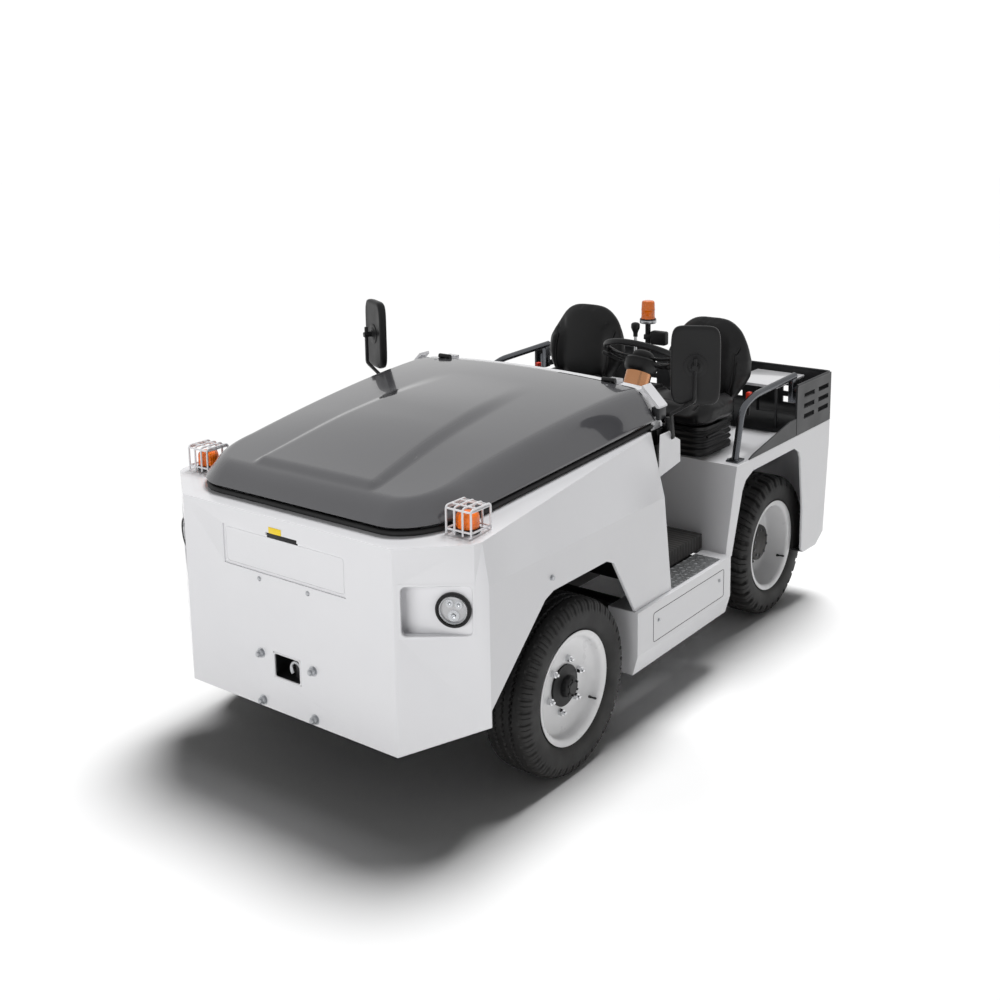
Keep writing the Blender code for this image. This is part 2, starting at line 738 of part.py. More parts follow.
def hood_seal():
    """Round rubber seal along the deck opening, below the hood's edge."""
    lift = SEAL_R + TOUCH
    inset = HOOD_THICK / 2
    right = hood_outline(inset, HOOD_REAR_Y - 0.010)
    right = [(x, y, deck_z(y) + lift) for x, y in right]
    left = [(-x, y, z) for x, y, z in reversed(right)]
    middle = [(x, HOOD_FRONT_Y + inset, deck_z(HOOD_FRONT_Y + inset) + lift)
              for x in (-0.2, 0.0, 0.2)]
    path = left + middle + right
    return smooth(tube("hood_seal", path, SEAL_R, RUBBER, detail=2))


def cowl():
    """White arch behind the hood, carried by the dashboard."""
    front = HOOD_REAR_Y + MOVE
    rear = front + COWL_THICK
    top_y = HOOD_REAR_Y
    xs = [0.0, 0.15, 0.30, 0.45, hood_half(top_y) - HOOD_CREASE_IN, hood_half(top_y)]
    outer = [(x, hood_z(x, top_y)) for x in xs]
    outer[-1] = (outer[-1][0], DASH_TOP + TOUCH)
    mirror = [(-x, z) for x, z in reversed(outer[1:])]
    legs = 0.030
    inner = [(hood_half(top_y) - legs, DASH_TOP + TOUCH),
             (hood_half(top_y) - HOOD_CREASE_IN - legs, 1.225),
             (-(hood_half(top_y) - HOOD_CREASE_IN - legs), 1.225),
             (-(hood_half(top_y) - legs), DASH_TOP + TOUCH)]
    arch = prism("cowl", mirror + outer + inner, "Y", front, rear, WHITE)
    return fuse(arch, *hood_hinges())


def hood_hinges():
    """Barrels and leaves of the two hood hinges on the cowl."""
    made = []
    for side, sign in SIDES:
        z = hood_hinge_z()
        x = sign * HINGE_X
        barrel = rod("hood_hinge_" + side, (x - 0.030, HINGE_Y, z),
                     (x + 0.030, HINGE_Y, z), HINGE_R, cutter=True, sides=16)
        top = hood_z(HINGE_X, HOOD_REAR_Y) - 0.010
        leaf = block("hood_hinge_leaf_" + side, (x - 0.026, HINGE_Y, top),
                     (x + 0.026, HINGE_Y + 0.045, z + 0.004), cutter=True)
        made += [barrel, leaf]
    return made


# ------------------------------------------------------------------ chassis
def chassis():
    """Two long rails with cross members and the outriggers of the steps."""
    front = FRONT_Y + SHEET + TOUCH
    rear = tail_y(RAIL_BOTTOM) - SHEET - 0.004
    rail = block("chassis", (RAIL_INNER, front, RAIL_BOTTOM),
                 (RAIL_OUTER, rear, RAIL_TOP), UNDERBODY)
    other = block("chassis_right_rail", (-RAIL_OUTER, front, RAIL_BOTTOM),
                  (-RAIL_INNER, rear, RAIL_TOP), cutter=True)
    bars = []
    for index, y in enumerate((front + POCKET_DEPTH, -1.20, FIREWALL_Y, 0.37, 1.24)):
        bars.append(block("chassis_cross_%d" % index, (-RAIL_INNER - 0.01, y, RAIL_BOTTOM + 0.008),
                          (RAIL_INNER + 0.01, y + CROSS_SIZE, RAIL_TOP - 0.008), cutter=True))
    reach = SILL_OUTER - SHEET - 0.03
    for index, y in enumerate((SILL_FRONT_Y + 0.06, SILL_REAR_Y - 0.12)):
        bars.append(block("chassis_outrigger_%d" % index, (-reach, y, RAIL_BOTTOM + 0.004),
                          (reach, y + 0.060, SILL_TOP - SHEET - TOUCH), cutter=True))
    return fuse(rail, other, *bars)


def battery():
    """Traction battery between the front wheels: one plain block."""
    return block("battery", (-BATTERY_HALF, BATTERY_FRONT_Y, RAIL_TOP + TOUCH),
                 (BATTERY_HALF, BATTERY_REAR_Y, BATTERY_TOP), CASING)


def front_axle():
    """Steered axle beam with a fork at each end for the knuckle."""
    z = TYRE_R
    beam = block("front_axle", (-0.52, FRONT_AXLE_Y - 0.050, z - 0.045),
                 (0.52, FRONT_AXLE_Y + 0.050, z + 0.045), UNDERBODY)
    added = []
    fork = KINGPIN_HALF + FORK_ARM
    for side, sign in SIDES:
        web = sorted((sign * 0.50, sign * 0.53))
        added.append(block("front_axle_web_" + side, (web[0], FRONT_AXLE_Y - 0.045, z - fork),
                           (web[1], FRONT_AXLE_Y + 0.045, z + fork), cutter=True))
        arm = sorted((sign * 0.50, sign * (KINGPIN_X + 0.036)))
        for level, low, high in (("lower", -fork, -KINGPIN_HALF), ("upper", KINGPIN_HALF, fork)):
            added.append(block("front_axle_%s_arm_%s" % (level, side),
                               (arm[0], FRONT_AXLE_Y - 0.036, z + low),
                               (arm[1], FRONT_AXLE_Y + 0.036, z + high), cutter=True))
        pad = sorted((sign * RAIL_INNER, sign * RAIL_OUTER))
        added.append(block("front_axle_pad_" + side, (pad[0], FRONT_AXLE_Y - 0.050, z),
                           (pad[1], FRONT_AXLE_Y + 0.050, RAIL_BOTTOM - TOUCH), cutter=True))
    cylinder = rod("front_axle_steer_cylinder", (-0.20, FRONT_AXLE_Y + 0.085, z),
                   (0.20, FRONT_AXLE_Y + 0.085, z), 0.038, cutter=True)
    rods = rod("front_axle_steer_rod", (-0.34, FRONT_AXLE_Y + 0.085, z),
               (0.34, FRONT_AXLE_Y + 0.085, z), 0.014, cutter=True, sides=16)
    return fuse(beam, cylinder, rods, *added)


def knuckle(side, sign):
    """Steering knuckle on its kingpin, with the wheel spindle."""
    z = TYRE_R
    x = sign * KINGPIN_X
    boss = rod("knuckle_" + side, (x, FRONT_AXLE_Y, z - KINGPIN_HALF + BEARING),
               (x, FRONT_AXLE_Y, z + KINGPIN_HALF - BEARING), 0.034, UNDERBODY)
    end = sign * (FRONT_WHEEL_X + FRONT_DISC - RIM_SHEET / 2 - BEARING)
    spindle = rod("knuckle_spindle_" + side, (x, FRONT_AXLE_Y, z), (end, FRONT_AXLE_Y, z),
                  SPINDLE_R, cutter=True)
    drum_end = sign * (FRONT_WHEEL_X + FRONT_DISC - 0.030)
    drum = rod("knuckle_drum_" + side, (sign * (KINGPIN_X + 0.045), FRONT_AXLE_Y, z),
               (drum_end, FRONT_AXLE_Y, z), 0.060, cutter=True)
    arm = block("knuckle_arm_" + side, (x - 0.016, FRONT_AXLE_Y + 0.01, z - 0.062),
                (x + 0.016, FRONT_AXLE_Y + 0.130, z - 0.042), cutter=True)
    fuse(boss, spindle, drum, arm)
    pivot = bpy.data.objects.new("kingpin_axis_" + side, None)
    PARTS.objects.link(pivot)
    pivot.location = (x, FRONT_AXLE_Y, z)
    attach(boss, pivot)
    return boss


def rim_profile(disc):
    """Closed section of a wheel: barrel, two lips and the disc."""
    half = RIM_WIDTH / 2
    lip = RIM_LIP_R
    seat = lip - 0.018
    wall = seat - RIM_SHEET
    back = disc - RIM_SHEET / 2
    face = disc + RIM_SHEET / 2
    return [
        (lip, half), (lip, half - 0.006), (seat, half - 0.011),
        (seat, -half + 0.011), (lip, -half + 0.006), (lip, -half),
        (wall, -half + 0.010), (wall, back - 0.012), (wall - 0.040, back),
        (HUB_HOLE_R, back), (HUB_HOLE_R, face), (wall - 0.036, face),
        (wall, face + 0.010), (wall, half - 0.010),
    ]


def tyre_profile():
    """Closed section of a tyre: beads inside the lips, round shoulders."""
    seat = RIM_LIP_R - 0.018 + TOUCH
    bead = RIM_WIDTH / 2 - 0.011 - 2 * TOUCH
    lip = RIM_LIP_R + 0.003
    wide = TYRE_WIDTH / 2
    half = [
        (seat, bead - 0.002), (lip - 0.005, bead), (lip, bead + 0.008),
        (mix(lip, TYRE_R, 0.30), wide - 0.002), (mix(lip, TYRE_R, 0.55), wide),
        (mix(lip, TYRE_R, 0.80), wide - 0.006), (TYRE_R - 0.008, wide - 0.020),
        (TYRE_R, wide - 0.038),
    ]
    return half + [(radius, -along) for radius, along in reversed(half)]


def wheel(name, x, y, sign, disc, hub_r, hub_out):
    """One wheel: the tyre, the rim and its hub cap."""
    place = (sign * x, y, TYRE_R)
    turned("tyre_" + name, tyre_profile(), place, RUBBER, sign)
    turned("rim_" + name, rim_profile(disc), place, WHITE, sign)
    face = disc + RIM_SHEET / 2
    back = disc - RIM_SHEET / 2
    hub = [
        (0.0, face + hub_out), (hub_r * 0.82, face + hub_out),
        (hub_r, face + hub_out - 0.008), (hub_r, face + 0.012),
        (HUB_HOLE_R + 0.020, face + 0.010), (HUB_HOLE_R + 0.020, face + TOUCH),
        (HUB_HOLE_R - TOUCH, face + TOUCH), (HUB_HOLE_R - TOUCH, back), (0.0, back),
    ]
    if hub_r > HUB_HOLE_R:
        hub = [
            (0.0, face + hub_out), (hub_r * 0.82, face + hub_out),
            (hub_r, face + hub_out - 0.008), (hub_r, face + TOUCH),
            (HUB_HOLE_R - TOUCH, face + TOUCH), (HUB_HOLE_R - TOUCH, back), (0.0, back),
        ]
    turned("hub_" + name, hub, place, BLACK, sign, ring=False)


def rear_axle():
    """Drive axle: housing tube, drum at each end and the motor block."""
    z = TYRE_R
    drum_end = REAR_WHEEL_X + REAR_DISC - RIM_SHEET / 2 - BEARING
    tube_body = rod("rear_axle", (-drum_end, REAR_AXLE_Y, z), (drum_end, REAR_AXLE_Y, z),
                    0.050, UNDERBODY)
    added = []
    for side, sign in SIDES:
        added.append(rod("rear_axle_drum_" + side, (sign * (drum_end - 0.070), REAR_AXLE_Y, z),
                         (sign * (drum_end - 0.012), REAR_AXLE_Y, z), DRUM_R,
                         cutter=True, sides=24))
        pad = sorted((sign * RAIL_INNER, sign * RAIL_OUTER))
        added.append(block("rear_axle_pad_" + side, (pad[0], REAR_AXLE_Y - 0.045, z),
                           (pad[1], REAR_AXLE_Y + 0.045, RAIL_BOTTOM - TOUCH), cutter=True))
    added.append(rod("rear_axle_gear_case", (-0.085, REAR_AXLE_Y, z), (0.085, REAR_AXLE_Y, z),
                     0.115, cutter=True, sides=32))
    added.append(rod("rear_axle_motor", (0.0, REAR_AXLE_Y - 0.43, z + 0.01),
                     (0.0, REAR_AXLE_Y, z + 0.01), 0.095, cutter=True, sides=32))
    return fuse(tube_body, *added)


# ------------------------------------------------------------------- cabin
def sill(side, sign):
    """Step box below the door opening, open on its inner side."""
    section = [(SILL_INNER, SILL_TOP), (SILL_OUTER, SILL_TOP), (SILL_OUTER, SILL_BEND_Z),
               (SILL_LIP_X, SILL_BOTTOM), (SILL_INNER, SILL_BOTTOM)]
    outer = [(sign * x, z) for x, z in section]
    body = prism("step_" + side, outer, "Y", SILL_FRONT_Y, SILL_REAR_Y, WHITE)
    hollow = [(SILL_INNER - 0.02, SILL_TOP - SHEET), (SILL_OUTER - SHEET, SILL_TOP - SHEET),
              (SILL_OUTER - SHEET, SILL_BEND_Z + 0.002),
              (SILL_LIP_X - SHEET, SILL_BOTTOM + SHEET),
              (SILL_INNER - 0.02, SILL_BOTTOM + SHEET)]
    inner = prism("step_hollow_" + side, [(sign * x, z) for x, z in hollow], "Y",
                  SILL_FRONT_Y + SHEET, SILL_REAR_Y - SHEET, cutter=True)
    return cut(body, inner)


def floor_pan():
    """Cabin floor: a plate with a skirt down to each step."""
    low = SILL_TOP + TOUCH
    high = FLOOR_TOP
    t = FLOOR_THICK
    h = FLOOR_HALF
    section = [(-h, low), (-h, high), (h, high), (h, low), (h - t, low),
               (h - t, high - t), (-h + t, high - t), (-h + t, low)]
    front = FIREWALL_Y + FIREWALL_THICK + TOUCH
    return prism("floor", section, "Y", front, rear_wall_y(low) - 0.004, BLACK)


def firewall():
    """Black wall that closes the front body towards the cabin."""
    form = front_form("firewall", SHEET + 0.0008, RAIL_TOP + TOUCH, DECK_REAR_Y + 0.05)
    CUTTERS.objects.unlink(form)
    PARTS.objects.link(form)
    form.hide_render = False
    form.display_type = "TEXTURED"
    form.data.materials.append(paint("firewall_finish", *BLACK))
    slab = block("firewall_slab", (-1, FIREWALL_Y, RAIL_TOP - 0.01),
                 (1, FIREWALL_Y + FIREWALL_THICK, 1.4), cutter=True)
    boolean(form, slab, "INTERSECT")
    return form


def dashboard():
    """Black dashboard behind the firewall, with the leg space below."""
    front = DECK_REAR_Y + 0.002
    knee = FLOOR_TOP + TOUCH
    side_view = [(front, knee), (front, DASH_TOP), (DASH_REAR_Y, DASH_TOP),
                 (DASH_REAR_Y, DASH_TOP - 0.170), (front + 0.04, 0.80),
                 (front + 0.03, knee)]
    return prism("dashboard", side_view, "X", -DASH_HALF, DASH_HALF, BLACK)


def steering_axis():
    """Unit vector from the column up to the driver."""
    lean = math.radians(STEER_TILT_DEG)
    return Vector((0.0, math.sin(lean), math.cos(lean)))


def steering():
    """Column shroud and the steering wheel on its own axis."""
    axis = steering_axis()
    centre = Vector((DRIVER_X, STEER_WHEEL_Y, STEER_WHEEL_Z))
    top = centre - axis * 0.045
    foot = centre - axis * (0.045 + COLUMN_LENGTH)
    column = rod("steering_column", foot, top, COLUMN_R, COPPER, sides=28)
    bracket = block("column_bracket", (DRIVER_X - 0.03, DASH_REAR_Y + TOUCH, foot.z - 0.03),
                    (DRIVER_X + 0.03, foot.y + 0.02, foot.z + 0.05), cutter=True)
    fuse(column, bracket)

    major, minor = 30, 8
    bm = bmesh.new()
    rings = []
    for i in range(major):
        a = math.tau * i / major
        out = Vector((math.cos(a), math.sin(a), 0.0))
        rings.append([bm.verts.new(out * (STEER_WHEEL_R + STEER_RIM_R * math.cos(b))
                                   + Vector((0, 0, STEER_RIM_R * math.sin(b))))
                      for b in (math.tau * j / minor for j in range(minor))])
    for i in range(major):
        ring, following = rings[i], rings[(i + 1) % major]
        for j in range(minor):
            k = (j + 1) % minor
            bm.faces.new((ring[j], following[j], following[k], ring[k]))
    rim = add_mesh("steering_wheel", bm, BLACK)
    hub = rod("steering_hub", (0, 0, -0.0445), (0, 0, 0.012), 0.046, cutter=True)
    spokes = []
    for index, angle in enumerate((0.0, 180.0, 270.0)):
        spoke = block("steering_spoke_%d" % index, (0.02, -0.014, -0.012),
                      (STEER_WHEEL_R, 0.014, -0.002), cutter=True)
        spoke.data.transform(Matrix.Rotation(math.radians(angle), 4, "Z"))
        spokes.append(spoke)
    tools = [hub] + spokes
    turn = axis.to_track_quat("Z", "Y").to_matrix().to_4x4()
    place = Matrix.Translation(centre) @ turn
    for tool in tools:
        tool.data.transform(turn)
        tool.location = centre
    rim.data.transform(turn)
    rim.location = place.translation
    fuse(rim, *tools)
    smooth(rim, 40)
    return rim


def seat(side, x):
    """Seat on a suspension base: base, cushion and backrest."""
    deck = REAR_DECK + TOUCH
    front = SEAT_FRONT_Y
    base_top = SEAT_CUSHION_Z - TOUCH
    round_edges(block("seat_base_" + side, (x - SEAT_BASE_HALF, REAR_WALL_TOP_Y + 0.01, deck),
                      (x + SEAT_BASE_HALF, front + SEAT_DEPTH + SEAT_BASE_BEHIND, base_top), BLACK), 0.012)
    cushion = block("seat_cushion_" + side, (x - SEAT_HALF, front, SEAT_CUSHION_Z),
                    (x + SEAT_HALF, front + SEAT_DEPTH,
                     SEAT_CUSHION_Z + SEAT_CUSHION_THICK), LEATHER)
    smooth(round_edges(cushion, 0.035, 3))
    pivot_y = front + SEAT_DEPTH + 2 * TOUCH
    low = SEAT_CUSHION_Z
    back = block("seat_back_" + side, (x - SEAT_BACK_HALF, pivot_y, low),
                 (x + SEAT_BACK_HALF, pivot_y + SEAT_BACK_THICK, low + SEAT_BACK_HEIGHT),
                 LEATHER)
    turn_about(back, (x, pivot_y, low), "X", -SEAT_BACK_LEAN_DEG)
    rise = SEAT_BACK_THICK * math.sin(math.radians(SEAT_BACK_LEAN_DEG))
    back.data.transform(Matrix.Translation((0, -0.007, rise)))
    smooth(round_edges(back, 0.040, 3))
    return back


# --------------------------------------------------------------- rear body
def rear_body():
    """White rear body with both wheel arches, the seat deck and the tail."""
    foot = REAR_WALL_FOOT_Z
    outline = [(REAR_WALL_LOW_Y, foot), (REAR_WALL_TOP_Y, REAR_DECK), (REAR_Y, REAR_DECK),
               (REAR_Y, TAIL_BEND_Z), (TAIL_FOOT_Y, TAIL_FOOT_Z),
               (TAIL_LIP_Y + 0.004, TAIL_LIP_Z), (TAIL_SIDE_Y + 0.025, TAIL_LIP_Z + 0.005),
               (TAIL_SIDE_Y, TAIL_LIP_Z + 0.034), (TAIL_SIDE_Y, foot)]
    body = prism("rear_body", outline, "X", -REAR_HALF, REAR_HALF, WHITE)
    s = SHEET
    hollow = [(REAR_WALL_LOW_Y + s * 1.03, foot - 0.3), (REAR_WALL_LOW_Y + s * 1.03, foot),
              (REAR_WALL_TOP_Y + s * 0.80, REAR_DECK - s),
              (REAR_Y - s, REAR_DECK - s), (REAR_Y - s, TAIL_BEND_Z + 0.001),
              (TAIL_FOOT_Y - s, TAIL_FOOT_Z + 0.005),
              (TAIL_LIP_Y, TAIL_LIP_Z + s), (TAIL_LIP_Y, 0.1)]
    inner = prism("rear_body_hollow", hollow, "X", -REAR_HALF + s, REAR_HALF - s, cutter=True)
    arch = prism("rear_arch_cut", [
        (0.376, 0.20), (0.376, 0.466), (0.462, 0.725), (0.492, 0.765), (0.560, REAR_ARCH_TOP),
        (0.985, REAR_ARCH_TOP), (1.035, 0.765), (1.052, 0.735), (1.092, 0.477), (1.092, 0.20),
    ], "X", -1.0, 1.0, cutter=True)
    reach = RAIL_OUTER + 0.020
    notch = block("rear_body_rail_notch", (-reach, 0.20, 0.30),
                  (reach, 0.50, RAIL_TOP + TOUCH), cutter=True)
    return cut(body, inner, arch, notch)


def rear_tray():
    """Charcoal tray at the tail: louvred sides and a slotted rear wall."""
    deck = REAR_DECK + TOUCH
    tray = block("rear_tray", (-REAR_HALF, TRAY_FRONT_Y, deck), (REAR_HALF, REAR_Y, TRAY_TOP),
                 CHARCOAL)
    w = TRAY_WALL
    inner = block("rear_tray_hollow", (-REAR_HALF + w, TRAY_FRONT_Y - 0.1, deck + w),
                  (REAR_HALF - w, REAR_Y - w, TRAY_TOP + 0.1), cutter=True)
    cut(tray, inner)
    for row, z in enumerate(LOUVRE_ROWS):
        for column, start in enumerate(LOUVRE_STARTS):
            y = TRAY_FRONT_Y + start
            cut(tray, block("louvre_%d_%d" % (row, column), (-1.0, y, z),
                            (1.0, y + LOUVRE_LENGTH, z + LOUVRE_HEIGHT), cutter=True))
    wide, high = SLOT_SIZE
    for row, z in enumerate(SLOT_ROWS):
        for column, x in enumerate(SLOT_STARTS):
            cut(tray, block("slot_%d_%d" % (row, column), (x, REAR_Y - 0.05, z),
                            (x + wide, REAR_Y + 0.05, z + high), cutter=True))
    return tray


def handrail(side, sign):
    """Bent steel rail beside the seat, from the rear deck to the tray."""
    x = sign * HANDRAIL_X
    end = TRAY_FRONT_Y + 0.06
    path = bend([(x, HANDRAIL_FOOT_Y, REAR_DECK + 0.0065),
                 (x, HANDRAIL_FOOT_Y + 0.055, HANDRAIL_TOP - 0.035),
                 (x, HANDRAIL_FOOT_Y + 0.165, HANDRAIL_TOP),
                 (x, end, HANDRAIL_TOP + 0.012)], 0.050)
    rail = tube("handrail_" + side, path, RAIL_TUBE_R, STEEL, detail=3)
    foot = block("handrail_foot_" + side, (x - 0.028, HANDRAIL_FOOT_Y - 0.035, REAR_DECK + TOUCH),
                 (x + 0.028, HANDRAIL_FOOT_Y + 0.035, REAR_DECK + 0.008), cutter=True)
    lug = block("handrail_lug_" + side, (x - 0.012, end - 0.040, HANDRAIL_LUG_Z),
                (x + 0.012, end, HANDRAIL_TOP + 0.010), cutter=True)
    wall = sorted((sign * (REAR_HALF - TRAY_WALL - TOUCH), x - sign * 0.012))
    plate = block("handrail_plate_" + side, (wall[0], end - 0.040, HANDRAIL_LUG_Z),
                  (wall[1], end, HANDRAIL_LUG_Z + 0.070), cutter=True)
    return smooth(fuse(rail, foot, lug, plate), 40)


def rear_coupler():
    """Towing jaw bolted to the rear wall."""
    low, high = COUPLER_Z - 0.090, COUPLER_Z + 0.110
    near_low, near_high = tail_y(low) + TOUCH, tail_y(high) + TOUCH
    body = prism("rear_coupler", [(near_low, low), (near_high, high), (near_high + 0.020, high),
                                  (near_high + 0.020, low)], "X", -0.090, 0.090, STEEL)
    start = near_high + 0.010
    jaw_top = block("coupler_jaw_top", (-0.050, start, COUPLER_Z + 0.055),
                    (0.050, COUPLER_REACH_Y, COUPLER_Z + 0.077), cutter=True)
    jaw_low = block("coupler_jaw_low", (-0.050, start, COUPLER_Z - 0.055),
                    (0.050, COUPLER_REACH_Y, COUPLER_Z - 0.033), cutter=True)
    pin = rod("coupler_pin", (0, COUPLER_REACH_Y - 0.045, COUPLER_Z - 0.070),
              (0, COUPLER_REACH_Y - 0.045, COUPLER_Z + 0.130), 0.016, cutter=True)
    return fuse(body, jaw_top, jaw_low, pin)


def front_hitch():
    """Towing jaw and pin behind the opening in the nose plate."""
    front = FRONT_Y + SHEET + TOUCH
    rear = front + POCKET_DEPTH - 0.010
    half = POCKET_HALF + 0.012
    hitch = block("front_hitch", (-half - 0.016, front, POCKET_TOP),
                  (half + 0.016, rear, POCKET_TOP + 0.018), STEEL)
    lower = block("front_hitch_lower", (-half - 0.016, front, POCKET_BOTTOM - 0.018),
                  (half + 0.016, rear, POCKET_BOTTOM), cutter=True)
    cheeks = []
    for side, sign in SIDES:
        x = sorted((sign * half, sign * (half + 0.016)))
        cheeks.append(block("front_hitch_cheek_" + side, (x[0], front, POCKET_BOTTOM - 0.018),
                            (x[1], rear, POCKET_TOP + 0.018), cutter=True))
    pin = rod("front_hitch_pin", (0.0, front + 0.050, POCKET_BOTTOM - 0.030),
              (0.0, front + 0.050, POCKET_TOP + 0.050), 0.017, cutter=True)
    return fuse(hitch, lower, pin, *cheeks)


# ----------------------------------------------------------- small fittings
def beacon():
    """Amber beacon on a post behind the seats."""
    base = (BEACON_X, BEACON_Y, REAR_DECK + TOUCH)
    collar = BEACON_TOP - BEACON_LENS_H
    post = rod("beacon_post", base, (BEACON_X, BEACON_Y, collar - 0.015), 0.013, BLACK)
    foot = block("beacon_foot", (BEACON_X - 0.04, BEACON_Y - 0.04, REAR_DECK + TOUCH),
                 (BEACON_X + 0.04, BEACON_Y + 0.04, REAR_DECK + 0.010), cutter=True)
    plate = rod("beacon_plate", (BEACON_X, BEACON_Y, collar - 0.022),
                (BEACON_X, BEACON_Y, collar - TOUCH), BEACON_R + 0.006, cutter=True)
    smooth(fuse(post, foot, plate))
    lens = rod("beacon_lens", (BEACON_X, BEACON_Y, collar), (BEACON_X, BEACON_Y, BEACON_TOP),
               BEACON_R, AMBER, sides=32)
    smooth(round_edges(lens, 0.010, 2))


def mirror(side, sign):
    """Rear-view mirror: a bent arm from the dashboard and the head."""
    face = Matrix.Rotation(math.radians(sign * MIRROR_TURN_DEG), 4, "Z")
    outwards = face @ Vector((0.0, -1.0, 0.0))
    middle_z = MIRROR_Z if sign > 0 else MIRROR_Z - MIRROR_DROP
    centre = Vector((sign * MIRROR_X, MIRROR_Y, middle_z))
    ball = centre + outwards * (MIRROR_THICK / 2 + BEARING)
    stem = ball + outwards * 0.030
    root = sign * (DASH_HALF + TOUCH)
    root_y = (HOOD_REAR_Y + DASH_REAR_Y) / 2
    path = bend([(root + sign * 0.004, root_y, 1.080), (sign * 0.710, root_y, 1.080),
                 (sign * 0.750, stem.y, middle_z - 0.195), (stem.x, stem.y, middle_z - 0.130),
                 (stem.x, stem.y, middle_z + 0.035)], 0.022, 3)
    arm = tube("mirror_arm_" + side, path, MIRROR_TUBE_R, BLACK, detail=1)
    clamp = rod("mirror_clamp_" + side, ball, stem + outwards * 0.012, 0.012,
                cutter=True, sides=16)
    x = sorted((root, root + sign * 0.012))
    plate = block("mirror_root_" + side, (x[0], root_y - 0.030, 1.050),
                  (x[1], root_y + 0.030, 1.110), cutter=True)
    smooth(fuse(arm, clamp, plate), 40)
    head = block("mirror_" + side, (-MIRROR_W / 2, -MIRROR_THICK / 2, -MIRROR_H / 2),
                 (MIRROR_W / 2, MIRROR_THICK / 2, MIRROR_H / 2), BLACK)
    head.data.transform(Matrix.Translation(centre) @ face)
    smooth(round_edges(head, 0.014, 2))


def corner_lamp(side, sign):
    """Amber lamp on the shoulder deck, inside its wire guard."""
    x, y = sign * CORNER_LAMP_X, CORNER_LAMP_Y
    z = deck_z(y + CORNER_LAMP_R)
    base = rod("corner_lamp_" + side, (x, y, z + TOUCH), (x, y, z + CORNER_LAMP_H),
               CORNER_LAMP_R, AMBER, sides=24)
    return smooth(round_edges(base, 0.006, 1))


def headlamp(side, sign):
    """Round headlamp on the floor of its pocket in the chamfer."""
    frame = chamfer_frame(sign)
    along = LAMP_POCKET_START + LAMP_POCKET_LENGTH - HEADLAMP_FROM_END
    z = (LAMP_POCKET_BOTTOM + LAMP_POCKET_TOP) / 2
    back = frame @ Vector((along, LAMP_POCKET_DEPTH - TOUCH, z))
    front = frame @ Vector((along, 0.006, z))
    lamp = rod("headlamp_" + side, back, front, HEADLAMP_R, BLACK, sides=28)
    return smooth(round_edges(lamp, 0.006, 1))


def parking_lever():
    """Parking lever with a pear-shaped knob between the seats."""
    x, y = LEVER_X, LEVER_Y
    top = REAR_DECK + LEVER_CONSOLE_H
    console = block("parking_lever", (x - 0.05, y - 0.10, REAR_DECK + TOUCH),
                    (x + 0.05, y + 0.08, top), BLACK)
    stem = rod("parking_lever_stem", (x, y, top - 0.01), (x, y - 0.01, LEVER_KNOB_Z), 0.007,
               cutter=True, sides=12)
    knob = rod("parking_lever_knob", (x, y - 0.01, LEVER_KNOB_Z), (x, y - 0.01, LEVER_TOP), 0.010,
               cutter=True, sides=16, radius_end=0.020)
    return fuse(console, stem, knob)


def main():
    front_body()
    hood()
    hood_seal()
    cowl()
    chassis()
    battery()
    front_axle()
    rear_axle()
    firewall()
    dashboard()
    floor_pan()
    steering()
    rear_body()
    rear_tray()
    rear_coupler()
    front_hitch()
    beacon()
    parking_lever()
    for side, sign in SIDES:
        knuckle(side, sign)
        wheel("front_" + side, FRONT_WHEEL_X, FRONT_AXLE_Y, sign, FRONT_DISC, FRONT_HUB_R,
              FRONT_HUB_OUT)
        wheel("rear_" + side, REAR_WHEEL_X, REAR_AXLE_Y, sign, REAR_DISC, REAR_HUB_R,
              REAR_HUB_OUT)
        sill(side, sign)
        handrail(side, sign)
        mirror(side, sign)
        corner_lamp(side, sign)
        headlamp(side, sign)
        seat(side, DRIVER_X if sign > 0 else PASSENGER_X)


main()
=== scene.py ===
"""Looks of an airport baggage tug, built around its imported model.

The front of the tug faces -Y, its left side is +X and +Z is up. Lengths are in metres. Every new piece
is a surface worked out with numpy, and each finish is named for the real material that it stands for.
"""

import json
import logging
import math
from dataclasses import dataclass
from enum import Enum

import bmesh
import bpy
import numpy as np
from mathutils import Matrix, Vector
from mathutils.bvhtree import BVHTree

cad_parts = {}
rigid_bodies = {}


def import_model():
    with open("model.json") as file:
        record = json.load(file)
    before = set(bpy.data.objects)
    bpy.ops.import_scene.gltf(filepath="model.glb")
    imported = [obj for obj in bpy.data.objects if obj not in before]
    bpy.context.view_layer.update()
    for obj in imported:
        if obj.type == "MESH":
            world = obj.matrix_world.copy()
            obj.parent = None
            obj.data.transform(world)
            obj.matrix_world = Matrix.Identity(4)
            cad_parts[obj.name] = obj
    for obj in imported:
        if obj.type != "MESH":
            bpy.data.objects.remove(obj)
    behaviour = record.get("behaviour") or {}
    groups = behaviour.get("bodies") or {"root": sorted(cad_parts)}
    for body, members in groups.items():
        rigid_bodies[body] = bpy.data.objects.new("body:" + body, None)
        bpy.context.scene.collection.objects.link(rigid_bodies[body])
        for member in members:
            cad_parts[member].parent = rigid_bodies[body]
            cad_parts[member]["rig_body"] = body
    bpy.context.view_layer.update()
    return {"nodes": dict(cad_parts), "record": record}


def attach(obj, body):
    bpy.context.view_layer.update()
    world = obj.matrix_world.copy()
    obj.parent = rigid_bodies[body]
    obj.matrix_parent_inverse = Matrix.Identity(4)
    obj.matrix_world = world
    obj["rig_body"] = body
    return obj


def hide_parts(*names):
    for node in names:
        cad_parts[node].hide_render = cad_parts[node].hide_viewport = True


log = logging.getLogger("baggage_tug")
Points = np.ndarray
MM = 0.001
TAU = 2.0 * math.pi
SIDES = (("left", 1.0), ("right", -1.0))
